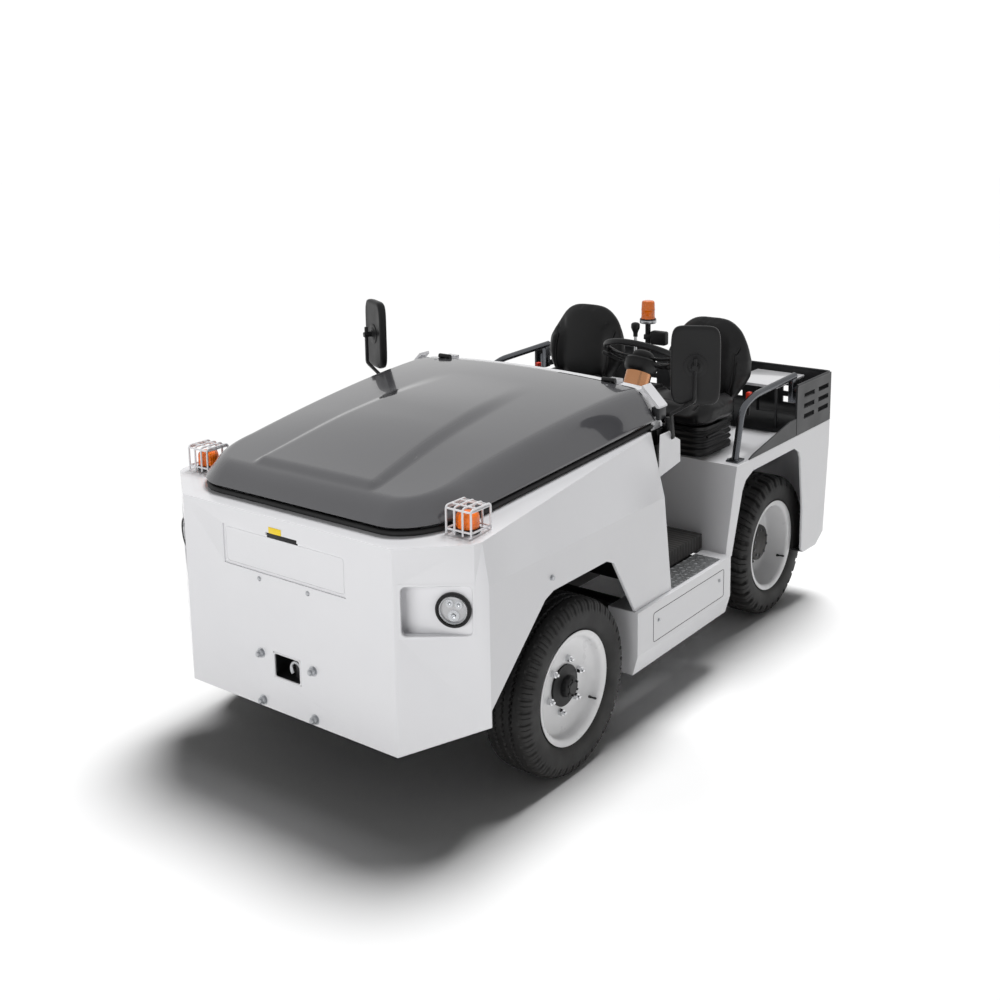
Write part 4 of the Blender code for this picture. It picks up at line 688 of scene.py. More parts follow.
# ---------------------------------------------------------------------------------------- the studio
@dataclass
class Studio:
    """Pale floor, soft lamps and the camera."""

    camera_at: tuple[float, float, float] = (3.205, -4.478, 2.467)
    azimuth: float = 37.30
    elevation: float = 11.17
    roll: float = -0.84
    focal_share: float = 1.30425
    shift: tuple[float, float] = (-0.0012, -0.1575)
    floor_size: float = 60.0

    def camera(self) -> None:
        """Place the camera at the front left corner, a little above the hood, looking slightly down."""
        a, e, r = (math.radians(v) for v in (self.azimuth, self.elevation, self.roll))
        back = Vector((math.sin(a) * math.cos(e), -math.cos(a) * math.cos(e), math.sin(e)))
        right = Vector((0, 0, 1)).cross(back).normalized()
        up = back.cross(right)
        right, up = (math.cos(r) * right + math.sin(r) * up, math.cos(r) * up - math.sin(r) * right)
        lens = bpy.data.cameras.new("camera")
        lens.sensor_width = 36.0
        lens.lens = self.focal_share * lens.sensor_width
        lens.shift_x, lens.shift_y = self.shift
        lens.clip_end = 200.0
        eye = bpy.data.objects.new("camera", lens)
        facing = Matrix((right, up, back)).transposed().to_4x4()
        eye.matrix_world = Matrix.Translation(self.camera_at) @ facing
        bpy.context.scene.collection.objects.link(eye)
        bpy.context.scene.camera = eye

    def floor(self) -> None:
        """Lay the matt pale floor and keep the two fill lamps off it."""
        half = self.floor_size / 2
        x, y = np.meshgrid(np.linspace(-half, half, 9), np.linspace(-half, half, 9), indexing="ij")
        pile = Pile()
        pile.grid(np.stack([x, y, np.zeros_like(x)], axis=-1), wrap_v=False, caps=False)
        mesh = bpy.data.meshes.new("studio_floor")
        mesh.from_pydata(np.vstack(pile.points).tolist(), [], pile.faces)
        paper = Finish("studio_paper", "#fdfdfd", "#fbfbfb", 0.9, Grain.MOULDED, relief=0.0, spread=0.02)
        mesh.materials.append(paper.material())
        floor = bpy.data.objects.new("studio_floor", mesh)
        bpy.context.scene.collection.objects.link(floor)
        unlit = bpy.data.collections.new("floor_without_fill")
        unlit.objects.link(floor)
        unlit.collection_objects[0].light_linking.link_state = "EXCLUDE"

    def lamp(self, name: str, at: tuple, to: tuple, size: tuple, watts: float) -> None:
        """Hang one soft box.

        Args:
            name: Its name.
            at: Where it hangs.
            to: The point that it faces.
            size: Width and height.
            watts: Power.
        """
        data = bpy.data.lights.new(name, "AREA")
        data.shape = "RECTANGLE"
        data.size, data.size_y = size
        data.energy = watts
        obj = bpy.data.objects.new(name, data)
        facing = (Vector(to) - Vector(at)).to_track_quat("-Z", "Y")
        obj.matrix_world = Matrix.Translation(at) @ facing.to_matrix().to_4x4()
        obj.visible_glossy = False
        obj.light_linking.receiver_collection = bpy.data.collections["floor_without_fill"]
        bpy.context.scene.collection.objects.link(obj)

    def lights(self) -> None:
        """Light the tug from above, fill the nose from its front, and whiten the room."""
        scene = bpy.context.scene
        world = bpy.data.worlds.new("white_room")
        scene.world = world
        world.use_nodes = True
        tree = world.node_tree
        room = tree.nodes["Background"]
        room.inputs["Color"].default_value = WHITE_LIGHT
        room.inputs["Strength"].default_value = 0.085
        seen = add_node(tree, "ShaderNodeBackground", {"Color": WHITE_LIGHT, "Strength": 1.1})
        ray = add_node(tree, "ShaderNodeLightPath")
        both = add_node(tree, "ShaderNodeMixShader", {0: ray.outputs["Is Camera Ray"],
                                                      1: room.outputs[0], 2: seen.outputs[0]})
        gloss = add_node(tree, "ShaderNodeBackground", {"Color": WHITE_LIGHT, "Strength": 0.7})
        mirrored = add_node(tree, "ShaderNodeMixShader", {0: ray.outputs["Is Glossy Ray"],
                                                          1: both.outputs[0], 2: gloss.outputs[0]})
        tree.links.new(mirrored.outputs[0], tree.nodes["World Output"].inputs["Surface"])
        sun = bpy.data.lights.new("top_light", "SUN")
        sun.energy = 3.35
        sun.angle = math.radians(24)
        top = bpy.data.objects.new("top_light", sun)
        top.rotation_euler = Vector((0.08, -0.40, -1.0)).to_track_quat("-Z", "Y").to_euler()
        top.visible_glossy = False
        scene.collection.objects.link(top)
        self.lamp("nose_fill", (0.6, -7.0, 2.4), (0.0, -1.2, 0.7), (4.0, 3.0), 180.0)
        self.lamp("side_fill", (5.0, -1.6, 2.2), (0.4, 0.4, 0.8), (3.0, 2.0), 22.0)
        scene.view_settings.view_transform = "Standard"
        scene.view_settings.look = "None"

    def build(self) -> None:
        """Set up the whole studio."""
        self.camera()
        self.floor()
        self.lights()


# ------------------------------------------------------------------------------------------ the hood
@dataclass
class Hood:
    """Crowned hood moulding with its leaning rim, rubber seal and two strap hinges."""

    front_y: float = -1.470
    rear_y: float = -0.122
    mid_y: float = -1.180
    front_half: float = 0.395
    mid_half: float = 0.598
    rear_half: float = 0.642
    rim_run: float = 0.082
    nose_run: float = 0.070
    crease_front_z: float = 1.105
    crease_rear_z: float = 1.262
    crown: float = 0.024
    bulge: float = 0.017
    bulge_front: float = 0.292
    bulge_rear: float = 0.190
    thick: float = 0.010
    seal_r: float = 0.010
    deck_front: tuple[float, float] = (-1.540, 1.013)
    deck_rear: tuple[float, float] = (-0.168, 1.117)
    hinge_x: float = 0.430

    def deck(self, y: Points) -> Points:
        """Height of the sloping deck that the seal lies on, a straight line along y."""
        (y0, z0), (y1, z1) = self.deck_front, self.deck_rear
        return z0 + (z1 - z0) * (y - y0) / (y1 - y0)

    def half(self, y: Points) -> Points:
        """Half width at y: a quarter ellipse at the nose, then a straight line."""
        t = np.clip((self.mid_y - y) / (self.mid_y - self.front_y), 0.0, 1.0)
        nose = self.front_half + (self.mid_half - self.front_half) * np.sqrt(1.0 - t * t)
        s = np.clip((y - self.mid_y) / (self.rear_y - self.mid_y), 0.0, 1.0)
        return np.where(y < self.mid_y, nose, self.mid_half + (self.rear_half - self.mid_half) * s)

    def inside(self, x: Points, y: Points) -> Points:
        """Share of the way from the rim to the upper crease, zero at the rim and one at the crease.

        Along the sides it is the distance to the edge over the rim's run. Round the nose it is the
        distance to the ellipse, measured along the ray from the ellipse's middle.
        """
        a, b = self.mid_half - self.front_half, self.mid_y - self.front_y
        out = np.maximum(np.abs(x) - self.front_half, 0.0)
        ahead = np.maximum(self.mid_y - y, 0.0)
        rho = np.sqrt((out / a) ** 2 + (ahead / b) ** 2)
        reach = np.sqrt(out ** 2 + ahead ** 2) / np.maximum(rho, 1e-9)
        turn = np.arctan2(ahead, out) / (math.pi / 2)
        run = self.rim_run + (self.nose_run - self.rim_run) * turn
        nose = (1.0 - rho) * np.where(rho > 1e-9, reach, a) / run
        side = (self.half(y) - np.abs(x)) / self.rim_run
        return np.where(y < self.mid_y, nose, side)

    def height(self, x: Points, y: Points) -> Points:
        """Height of the outer face.

        The rim leans up from the seal to the crease in two flat bands, and turns into the crown with a
        rounded crease, by a smooth minimum. The crown falls with the square of x, and the middle is
        raised inside two edges that close in and widen towards the rear.
        """
        t = (y - self.front_y) / (self.rear_y - self.front_y)
        low = self.deck(y) + 2 * self.seal_r + 0.76 * self.thick
        far = np.clip(1.0 - t, 0.0, 1.0)
        crease = self.crease_rear_z - (self.crease_rear_z - self.crease_front_z) * far ** 1.6
        d = self.inside(x, y)
        lower, upper = 1.26 * d, 0.30 + 0.72 * d
        blend = 0.10
        h = np.clip(0.5 + 0.5 * (upper - lower) / blend, 0.0, 1.0)
        flank = upper * (1 - h) + lower * h - blend * h * (1 - h)
        blend = 0.16
        h = np.clip(0.5 + 0.5 * (1.0 - flank) / blend, 0.0, 1.0)
        rise = (1 - h) + flank * h - blend * h * (1 - h)
        z = low + (crease - low) * np.maximum(rise, 0.0)
        across = np.maximum(0.0, 1.0 - (np.abs(x) / (self.half(y) - self.rim_run)) ** 2)
        z += self.crown * across * smooth_step((y - self.front_y - self.nose_run) / 0.5)
        middle = self.bulge_front + (self.bulge_rear - self.bulge_front) * t
        width = 0.030 + 0.085 * np.clip(t, 0.0, 1.0)
        side = smooth_step((middle - np.abs(x)) / width + 0.5)
        ahead = smooth_step((y - self.front_y - self.nose_run - 0.005) / 0.045)
        fade = 1.0 - smooth_step((t - 0.50) / 0.35)
        return z + self.bulge * side * ahead * fade

    def surface(self) -> Points:
        """Grid of the outer face: rows close together round the nose, columns closer at the rim."""
        nose = self.front_y + (self.mid_y - self.front_y) * (1 - np.cos(np.linspace(0, math.pi / 2, 52)))
        rest = np.linspace(self.mid_y, self.rear_y, 84)[1:]
        y = np.concatenate([nose, rest])
        u = np.linspace(-1.0, 1.0, 131)
        u = np.sin(u * math.pi / 2) * 0.45 + u * 0.55
        x = u[None, :] * self.half(y)[:, None]
        yy = np.broadcast_to(y[:, None], x.shape)
        return np.stack([x, yy, self.height(x, yy)], axis=-1)

    def panel(self) -> None:
        """Make the hood moulding: the outer face, thickened inwards."""
        pile = Pile().grid(self.surface()[:, ::-1], wrap_v=False, caps=False)
        hood = pile.build("hood_moulding", GRAPHITE_GEL, "hood", ("hood",), 50.0, False, "hood_grey")
        wall = hood.modifiers.new("wall", "SOLIDIFY")
        wall.thickness = self.thick
        wall.offset = -1.0
        wall.use_even_offset = False
        wall.use_rim = True

    def rim_path(self, inset: float, lift: float) -> Points:
        """Plan of the rim, moved in by inset, on the deck plus lift, from rear left to rear right."""
        angle = np.linspace(0.0, math.pi / 2, 24)
        a, b = self.mid_half - self.front_half - inset, self.mid_y - self.front_y - inset
        side_y = np.linspace(self.rear_y - 0.012, self.mid_y, 24)
        side = np.stack([self.half(side_y) - inset, side_y], axis=-1)
        nose = np.stack([self.front_half + a * np.cos(angle), self.mid_y - b * np.sin(angle)], axis=-1)
        right = np.vstack([side, nose[1:]])
        middle = np.stack([np.linspace(self.front_half, 0.0, 8)[1:], np.full(7, self.front_y + inset)],
                          axis=-1)
        half = np.vstack([right, middle])
        plan = np.vstack([half, half[-2::-1] * (-1.0, 1.0)])
        return np.column_stack([plan, self.deck(plan[:, 1]) + lift])

    def seals(self) -> None:
        """Lay the round seal on the deck and the flat seal band over the cowl behind the hood."""
        path = rounded_path(self.rim_path(self.thick / 2, self.seal_r + 0.0003), 0.012, 180)
        Pile().tube(path, self.seal_r * 1.08, 14).build("hood_edge_seal", EPDM, "tug", ("hood_seal",), 60.0)
        x = np.linspace(-1.0, 1.0, 161) * (self.rear_half - 0.002)
        line = np.stack([x, np.full_like(x, self.rear_y + 0.003),
                         self.height(x, np.full_like(x, self.rear_y))], axis=-1)
        side = np.stack([np.zeros_like(x), np.ones_like(x), np.zeros_like(x)], axis=-1)
        out = unit(np.cross(np.gradient(line, axis=0), side)) * -1.0
        out *= np.sign(out[:, 2:3].mean())
        wide, high = 0.0048, 0.004
        turn = np.linspace(0, TAU, 12, endpoint=False)
        band = (line[:, None, :] - 0.006 * out[:, None, :]
                + wide * 0.45 * np.cos(turn)[None, :, None] * side[:, None, :]
                + high * np.sin(turn)[None, :, None] * out[:, None, :])
        Pile().grid(band).build("cowl_edge_seal", EPDM, "tug")

    def hinges(self) -> None:
        """Bolt two black strap hinges to the hood's rear edge, with a barrel behind it."""
        for side, sign in SIDES:
            pile, pins = Pile(), Pile()
            x = sign * self.hinge_x
            top = float(self.height(np.array(x), np.array(self.rear_y - 0.03)))
            for shift in (-0.017, 0.017):
                run = self.rear_y - np.array([0.140, 0.110, 0.085, 0.060, 0.034])
                rise = self.height(np.full(5, x + shift), run) + 0.0035
                strap = np.column_stack([np.full(5, x + shift), run, rise])
                eye = (x + shift, self.rear_y + 0.012, top + 0.017)
                pile.tube(rounded_path(np.vstack([strap, [eye]]), 0.010, 30), 0.0045, 10)
            pile.block((x - 0.030, self.rear_y - 0.060, top + 0.0005),
                       (x + 0.030, self.rear_y - 0.018, top + 0.006))
            pile.turned([(0.0095, -0.031), (0.0105, -0.029), (0.0105, 0.029), (0.0095, 0.031)],
                        (x, self.rear_y + 0.002, top + 0.018), (1, 0, 0), 24)
            for shift in (-0.018, 0.018):
                pins.grid(hex_head((x + shift, self.rear_y - 0.042, top + 0.006), (0, 0, 1), 0.010, 0.004))
            pile.build("hood_strap_hinge_" + side, BLACK_ABS, "hood")
            pins.build("hood_hinge_bolts_" + side, ZINC, "hood")

    def build(self) -> None:
        """Make the hood with its seals and hinges."""
        self.panel()
        self.seals()
        self.hinges()


# ----------------------------------------------------------------------------------------- the wheels
class Tread(Enum):
    """Pattern of a tyre."""

    RIB = "straight ribs with notched shoulders"
    LUG = "staggered heavy lugs"


@dataclass
class Wheel:
    """One wheel: tyre, rim, hub cap, nuts and valve."""

    name: str
    x: float
    y: float
    sign: float
    tread: Tread
    disc: float
    hub_r: float
    nuts: int
    nut_circle: float
    radius: float = 0.328
    width: float = 0.196
    lip_r: float = 0.2135
    rim_width: float = 0.170
    sheet: float = 0.008

    def section(self) -> tuple[Points, Points]:
        """Outer section of the tyre from one bead to the other, as (radius, height) with inward normals."""
        lip, wide, top = self.lip_r + 0.004, self.width / 2, self.radius
        corner = np.array([(self.lip_r - 0.016, 0.0725), (lip - 0.004, 0.0755), (lip + 0.002, 0.0835),
                           (lip + 0.012, wide - 0.006), (lip + 0.032, wide - 0.0015), (lip + 0.052, wide),
                           (lip + 0.074, wide - 0.001), (top - 0.020, wide - 0.0065),
                           (top - 0.010, wide - 0.013), (top - 0.0045, wide - 0.024),
                           (top - 0.001, wide - 0.042), (top, wide - 0.060)])
        path = rounded_path(np.column_stack([corner, np.zeros(len(corner))]), 0.006, 29)[:, :2]
        inner = np.linspace(path[-1, 1], 0.0, 14)[1:]
        crown = np.column_stack([np.full(13, top), inner])
        half = np.vstack([path, crown])
        whole = np.vstack([half, half[-2::-1] * (1.0, -1.0)])
        along = unit(np.gradient(whole, axis=0))
        return whole, np.column_stack([along[:, 1], -along[:, 0]])

    def cut(self, turn: Points, along: Points, radius: Points) -> Points:
        """Depth of the tread cuts at a share of a pitch, a place across the tyre and a radius.

        Lugs are parted by cross cuts whose floor is level and whose walls rise over a few millimetres.
        Ribs are parted by grooves at fixed places across, and their shoulders are notched.
        """
        x = np.abs(along)
        shoulder = smooth_step((radius - self.radius + 0.046) / 0.012)
        if self.tread is Tread.LUG:
            half = np.where(along > 0, turn, (turn + 0.5) % 1.0)
            wall = smooth_step(half / 0.05) * smooth_step((0.36 - half) / 0.05)
            reach = smooth_step((x - 0.020) / 0.006)
            fine = smooth_step(1.0 - np.abs(half - 0.68) / 0.035) * smooth_step((x - 0.030) / 0.004)
            middle = smooth_step((0.006 - np.abs(along - 0.010 * np.sin(TAU * turn))) / 0.003)
            crown = smooth_step((0.090 - x) / 0.004)
            return np.maximum.reduce([0.013 * wall * reach * shoulder, 0.005 * fine * shoulder,
                                      0.010 * middle * crown])
        wave = 0.0035 * np.sin(TAU * turn * 2)
        grooves = [smooth_step((0.0042 - np.abs(along - place - wave)) / 0.0018)
                   for place in (-0.034, 0.0, 0.034)]
        notch = (smooth_step(turn / 0.08) * smooth_step((0.32 - turn) / 0.08)
                 * smooth_step((x - 0.066) / 0.005))
        slit = smooth_step(1.0 - np.abs(turn - 0.66) / 0.05) * smooth_step((x - 0.072) / 0.004)
        crown = smooth_step((0.066 - x) / 0.003)
        return np.maximum.reduce([0.009 * np.maximum.reduce(grooves) * crown, 0.006 * notch * shoulder,
                                  0.003 * slit * shoulder])

    def tyre(self) -> None:
        """Make the tyre: the section spun in equal pitches, with the tread cut along its inward normal."""
        pitches = 30 if self.tread is Tread.LUG else 44
        share = np.array([0.0, 0.05, 0.12, 0.20, 0.28, 0.31, 0.36, 0.46, 0.56, 0.645, 0.68, 0.715, 0.80, 0.90]
                         if self.tread is Tread.LUG else
                         [0.0, 0.08, 0.16, 0.24, 0.32, 0.44, 0.56, 0.61, 0.66, 0.71, 0.82, 0.92])
        turns = (np.arange(pitches)[:, None] + share[None, :]).reshape(-1)
        section, inward = self.section()
        slant = 0.30 if self.tread is Tread.LUG else 0.10
        radius, along = section[None, :, 0], section[None, :, 1]
        local = np.broadcast_to((turns % 1.0)[:, None], (len(turns), len(section)))
        depth = self.cut(local, np.broadcast_to(along, local.shape), np.broadcast_to(radius, local.shape))
        r = radius + inward[None, :, 0] * depth
        h = along + inward[None, :, 1] * depth
        angle = (turns[:, None] + slant * np.abs(along) / 0.09) * TAU / pitches
        grid = np.stack([self.sign * (self.x + h), self.y + r * np.cos(angle),
                         self.radius + r * np.sin(angle)], axis=-1)
        pile = Pile().grid(grid.transpose(1, 0, 2), caps=False)
        pile.grid(self.bore(grid[:, 0], grid[:, -1]), caps=False)
        pile.build("tyre_%s_treaded" % self.name, TYRE_RUBBER, self.body(), ("tyre_" + self.name,), 38.0)

    def bore(self, near: Points, far: Points) -> Points:
        """Close the tyre between its beads with rows that go straight from edge to edge, dipped inwards.

        Args:
            near: Ring of the outer bead's edge.
            far: Ring of the inner bead's edge.

        Returns:
            Grid of rows by ring points by three.
        """
        share = np.array([0.0, 0.04, 0.5, 0.96, 1.0])[:, None, None]
        dip = np.array([0.0, 1.0, 1.0, 1.0, 0.0])[:, None, None] * 0.0016
        middle = np.array([0.0, self.y, self.radius])
        rows = near[None] * (1 - share) + far[None] * share
        radial = (rows - middle) * (0.0, 1.0, 1.0)
        return rows - unit(radial) * dip

    def body(self) -> str:
        """The moving body of this wheel."""
        return "wheel_" + self.name

    def rim(self) -> None:
        """Spin the pressed steel rim: rolled lips, drop barrel and a dished disc with a rounded root."""
        half, lip = self.rim_width / 2, self.lip_r
        seat = lip - 0.0185
        wall = seat - self.sheet
        back, face = self.disc - self.sheet / 2, self.disc + self.sheet / 2
        hole = 0.0585
        outline = [(lip - 0.001, half - 0.001), (lip - 0.0005, half - 0.006), (seat + 0.004, half - 0.009),
                   (seat, half - 0.016), (seat, -half + 0.016), (seat + 0.004, -half + 0.009),
                   (lip - 0.0005, -half + 0.006), (lip - 0.001, -half + 0.001), (lip - 0.005, -half),
                   (wall + 0.004, -half + 0.006), (wall, -half + 0.012), (wall, back - 0.020),
                   (wall - 0.006, back - 0.006), (wall - 0.030, back), (hole, back), (hole, face),
                   (wall - 0.040, face), (wall - 0.018, face + 0.004), (wall - 0.005, face + 0.010),
                   (wall, face + 0.022), (wall, half - 0.012), (wall + 0.004, half - 0.006),
                   (lip - 0.005, half)]
        line = rounded_path(np.column_stack([np.array(outline), np.zeros(len(outline))]), 0.0035, 84, True)
        Pile().turned(line[:, :2], self.centre(), (self.sign, 0, 0), 88, True).build(
            "rim_%s_enamelled" % self.name, WHEEL_ENAMEL, self.body(), ("rim_" + self.name,), 40.0)

    def centre(self) -> Points:
        """Middle of the wheel."""
        return np.array([self.sign * self.x, self.y, self.radius])

    def around(self, angle: float) -> Points:
        """Unit vector square to the axle, at an angle from the rearward direction."""
        return np.array([0.0, math.cos(angle), math.sin(angle)])

    def hub(self) -> None:
        """Make the hub cap, its small bolts, the wheel nuts on their studs and the valve."""
        small = self.hub_r < 0.06
        face = self.disc + self.sheet / 2
        out = np.array([self.sign, 0.0, 0.0])
        tip = face + (0.045 if small else 0.075)
        r, flange = self.hub_r, max(self.hub_r * 1.35, 0.0775)
        profile = [(0.0, tip), (r * 0.55, tip), (r * 0.62, tip - 0.004), (r * 0.80, tip - 0.004),
                   (r * 0.96, tip - 0.009), (r, tip - 0.018), (r, face + 0.014), (r * 1.10, face + 0.011),
                   (flange, face + 0.009), (flange, face + 0.0004), (0.057, face + 0.0004),
                   (0.057, face - self.sheet), (0.0, face - self.sheet)]
        Pile().turned(profile, self.centre(), out, 64).build(
            "hub_%s_cap" % self.name, BLACK_ABS if small else CHASSIS_BLACK, self.body(),
            ("hub_" + self.name,), 35.0, slot="black_plastic")
        bolts, count = Pile(), 6 if small else 10
        for k in range(count):
            spot = self.centre() + out * (tip - 0.0045) + self.around(TAU * (k + 0.5) / count) * r * 0.74
            bolts.grid(hex_head(spot, out, 0.0085 if small else 0.013, 0.005))
        bolts.build("hub_%s_bolts" % self.name, BLACK_ABS if small else FORGED, self.body(),
                    slot="black_plastic")
        nuts, seat = Pile(), face + (0.0 if self.nut_circle > 0.08 else 0.009)
        for k in range(self.nuts):
            spot = self.centre() + out * seat + self.around(TAU * (k + 0.25) / self.nuts) * self.nut_circle
            nuts.grid(hex_head(spot, out, 0.024, 0.017))
            nuts.turned([(0.0065, 0.010), (0.0065, 0.026), (0.005, 0.028), (0.0, 0.028)], spot, out, 16)
        nuts.build("wheel_nuts_" + self.name, CHROME if small else FORGED, self.body(), slot="steel")
        wall = self.lip_r - 0.0185 - self.sheet
        valve = self.around(-0.6)
        foot = self.centre() + valve * wall + out * (self.rim_width / 2 - 0.045)
        stem = foot + np.linspace(0, 1, 10)[:, None] * (out * 0.040 - valve * 0.012)
        thick = np.array([6.5, 6.5, 5, 4.2, 3.6, 3.6, 3.6, 4.4, 4.4, 4.0]) * MM
        Pile().tube(stem, thick, 14).build("valve_" + self.name, EPDM, self.body())

    def build(self) -> None:
        """Make the whole wheel."""
        self.tyre()
        self.rim()
        self.hub()


# ------------------------------------------------------------------------------------- front fittings
@dataclass
class Nose:
    """Fittings on the front body: bolts, blank tag, tow pin, lamps and their guards."""

    front_y: float = -1.540
    front_half: float = 0.512
    side_half: float = 0.760
    corner_y: float = -1.351
    pocket: tuple[float, float] = (0.018, 0.262)
    pocket_z: tuple[float, float] = (0.708, 0.890)
    lamp_along: float = 0.195
    lamp_depth: float = 0.055
    lamp_z: float = 0.799
    lamp_r: float = 0.060
    corner_lamp: tuple[float, float] = (0.640, -1.305)

    def chamfer(self, sign: float) -> tuple[Points, Points, Points]:
        """Corner of a chamfer with its run direction and its inward direction."""
        run = unit(np.array([sign * (self.side_half - self.front_half), self.corner_y - self.front_y, 0.0]))
        inwards = np.array([-sign * abs(run[1]), abs(run[0]), 0.0])
        return np.array([sign * self.front_half, self.front_y, 0.0]), run, inwards

    def plate_bolts(self) -> None:
        """Four hexagon bolts on washers round the tow pocket, and two small round heads above it."""
        pile = Pile()
        for x, z in ((-0.130, 0.310), (0.130, 0.310), (-0.130, 0.490), (0.130, 0.490)):
            pile.grid(hex_head((x, self.front_y + 0.0002, z), (0, -1, 0), 0.026, 0.013, 0.019))
            pile.turned([(0.009, 0.010), (0.009, 0.021), (0.007, 0.023), (0.0, 0.023)],
                        (x, self.front_y, z), (0, -1, 0), 20)
        for x in (-0.120, 0.120):
            pile.turned([(0.009, -0.001), (0.009, 0.002), (0.006, 0.005), (0.0, 0.006)],
                        (x, self.front_y, 0.772), (0, -1, 0), 24)
        pile.build("nose_plate_bolts", ZINC, "tug")

    def slot_and_tag(self) -> None:
        """Black lining of the hood latch slot and the blank yellow tag above it."""
        Pile().block((-0.0755, self.front_y + 0.0053, 0.9322), (0.0755, self.front_y + 0.045, 0.9528)).build(
            "latch_slot_lining", BLACK_ABS, "tug")
        Pile().block((-0.060, self.front_y - 0.0012, 0.9535),
                     (0.002, self.front_y - 0.0002, 0.976), 0.0004).build(
            "latch_tag_blank", YELLOW_FOIL, "tug")
        pile = Pile()
        edge = 0.290
        corners = [(-edge, 0.805), (edge, 0.805), (edge, 0.932), (-edge, 0.932)]
        path = rounded_path([(x, self.front_y + 0.0052, z) for x, z in corners], 0.012, 160, True)
        pile.tube(path, 0.0016, 8, True)
        pile.build("nose_panel_bead", WHITE_ENAMEL, "tug")

    def tow_pocket(self) -> None:
        """White rolled frame of the tow pocket and the bright pin's ring."""
        pile = Pile()
        corners = [(-0.066, 0.417), (0.066, 0.417), (0.066, 0.510), (-0.066, 0.510)]
        path = rounded_path([(x, self.front_y + 0.002, z) for x, z in corners], 0.014, 120, True)
        pile.tube(path, 0.0042, 10, True)
        pile.build("tow_pocket_frame", WHITE_ENAMEL, "tug")
        hook = Pile()
        angle = np.linspace(-0.5, 1.25 * math.pi, 40)
        arc = np.stack([0.028 + 0.024 * np.cos(angle), np.full(40, self.front_y + 0.020),
                        0.462 + 0.026 * np.sin(angle)], axis=-1)
        hook.tube(arc, np.linspace(0.0070, 0.0088, 40), 14)
        hook.build("tow_pin_ring", ZINC, "tug")

    def headlamp(self, side: str, sign: float) -> None:
        """Round lamp: bezel ring, ribbed dish in three segments, two lens cells and a clear domed cover.

        Args:
            side: Name of the side.
            sign: Its sign along X.
        """
        corner, run, inwards = self.chamfer(sign)
        lean = self.lean()
        out = unit(-inwards * math.cos(lean) - run * math.sin(lean))
        across = unit(run * math.cos(lean) - inwards * math.sin(lean))
        seat = self.lamp_depth - (self.lamp_along - self.pocket[0]) * math.tan(lean)
        floor = corner + run * self.lamp_along + inwards * seat - out * 0.036
        floor[2] = self.lamp_z
        r = self.lamp_r
        Pile().turned([(0.0, 0.0), (r - 0.004, 0.0), (r - 0.002, 0.006), (r - 0.002, 0.030), (r, 0.034),
                       (r, 0.047), (r - 0.003, 0.050), (r - 0.0085, 0.0495), (r - 0.011, 0.044),
                       (r - 0.013, 0.036), (0.030, 0.020), (0.0, 0.018)], floor, out, 96).build(
            "headlamp_housing_" + side, BLACK_ABS, "tug", ("headlamp_" + side,))
        Pile().turned([(r - 0.0115, 0.0440), (r - 0.0125, 0.0465), (r - 0.0150, 0.0455), (r - 0.0165, 0.0395),
                       (r - 0.0135, 0.0385)], floor, out, 96, True).build(
            "headlamp_bright_ring_" + side, CHROME, "tug")
        dishes, cells = Pile(), Pile()
        for along, rise, wide in ((0.000, -0.021, 0.0195), (-0.013, 0.021, 0.0135), (0.017, 0.017, 0.0135)):
            spot = floor + UP * rise + across * along
            dome = np.linspace(0.0, math.pi / 2, 9)
            cup = np.stack([wide * np.sin(dome), 0.0260 + 0.0130 * (1.0 - np.cos(dome))], axis=-1)
            dishes.turned(np.vstack([cup[::-1], cup - (0.0, 0.0010)]), spot, out, 40)
            lens = np.stack([wide * 0.62 * np.cos(dome), 0.0330 + 0.0080 * np.sin(dome)], axis=-1)
            cells.turned(np.vstack([[(wide * 0.62, 0.0275)], lens]), spot, out, 32)
        dishes.build("headlamp_dishes_" + side, SILVERED, "tug")
        cells.build("headlamp_cells_" + side, CLEAR_LENS, "tug")
        arc = np.linspace(0.0, 1.0, 14)
        front = np.stack([(r - 0.0095) * (1 - arc), 0.0485 + 0.0030 * (1 - (1 - arc) ** 2)], axis=-1)
        rear = front[::-1] - (0.0, 0.0020)
        Pile().turned(np.vstack([rear, front]), floor, out, 96).build(
            "headlamp_cover_" + side, THIN_COVER, "tug")

    def lean(self) -> float:
        """Angle by which the pocket's floor turns from the chamfer towards straight ahead."""
        return math.atan2(self.lamp_depth - 0.0030, self.pocket[1] - self.pocket[0])

    def lamp_pocket(self, side: str, sign: float) -> None:
        """White insert of a headlamp pocket: a floor that rises outwards, and a flush frame.

        The frame is a ring between a square outline and a round-cornered one, with a section of four
        corners. The floor is a wedge whose depth falls in a straight line along the chamfer.
        """
        corner, run, inwards = self.chamfer(sign)
        (first, last), (low, high) = self.pocket, self.pocket_z

        def outline(grow: float, radius: float, depth: float) -> Points:
            """Loop on the chamfer at a depth, its corners rounded by a radius."""
            spots = [corner + run * a + UP * z + inwards * depth
                     for a, z in ((first - grow, low - grow), (last + grow, low - grow),
                                  (last + grow, high + grow), (first - grow, high + grow))]
            return rounded_path(spots, radius, 240, True)

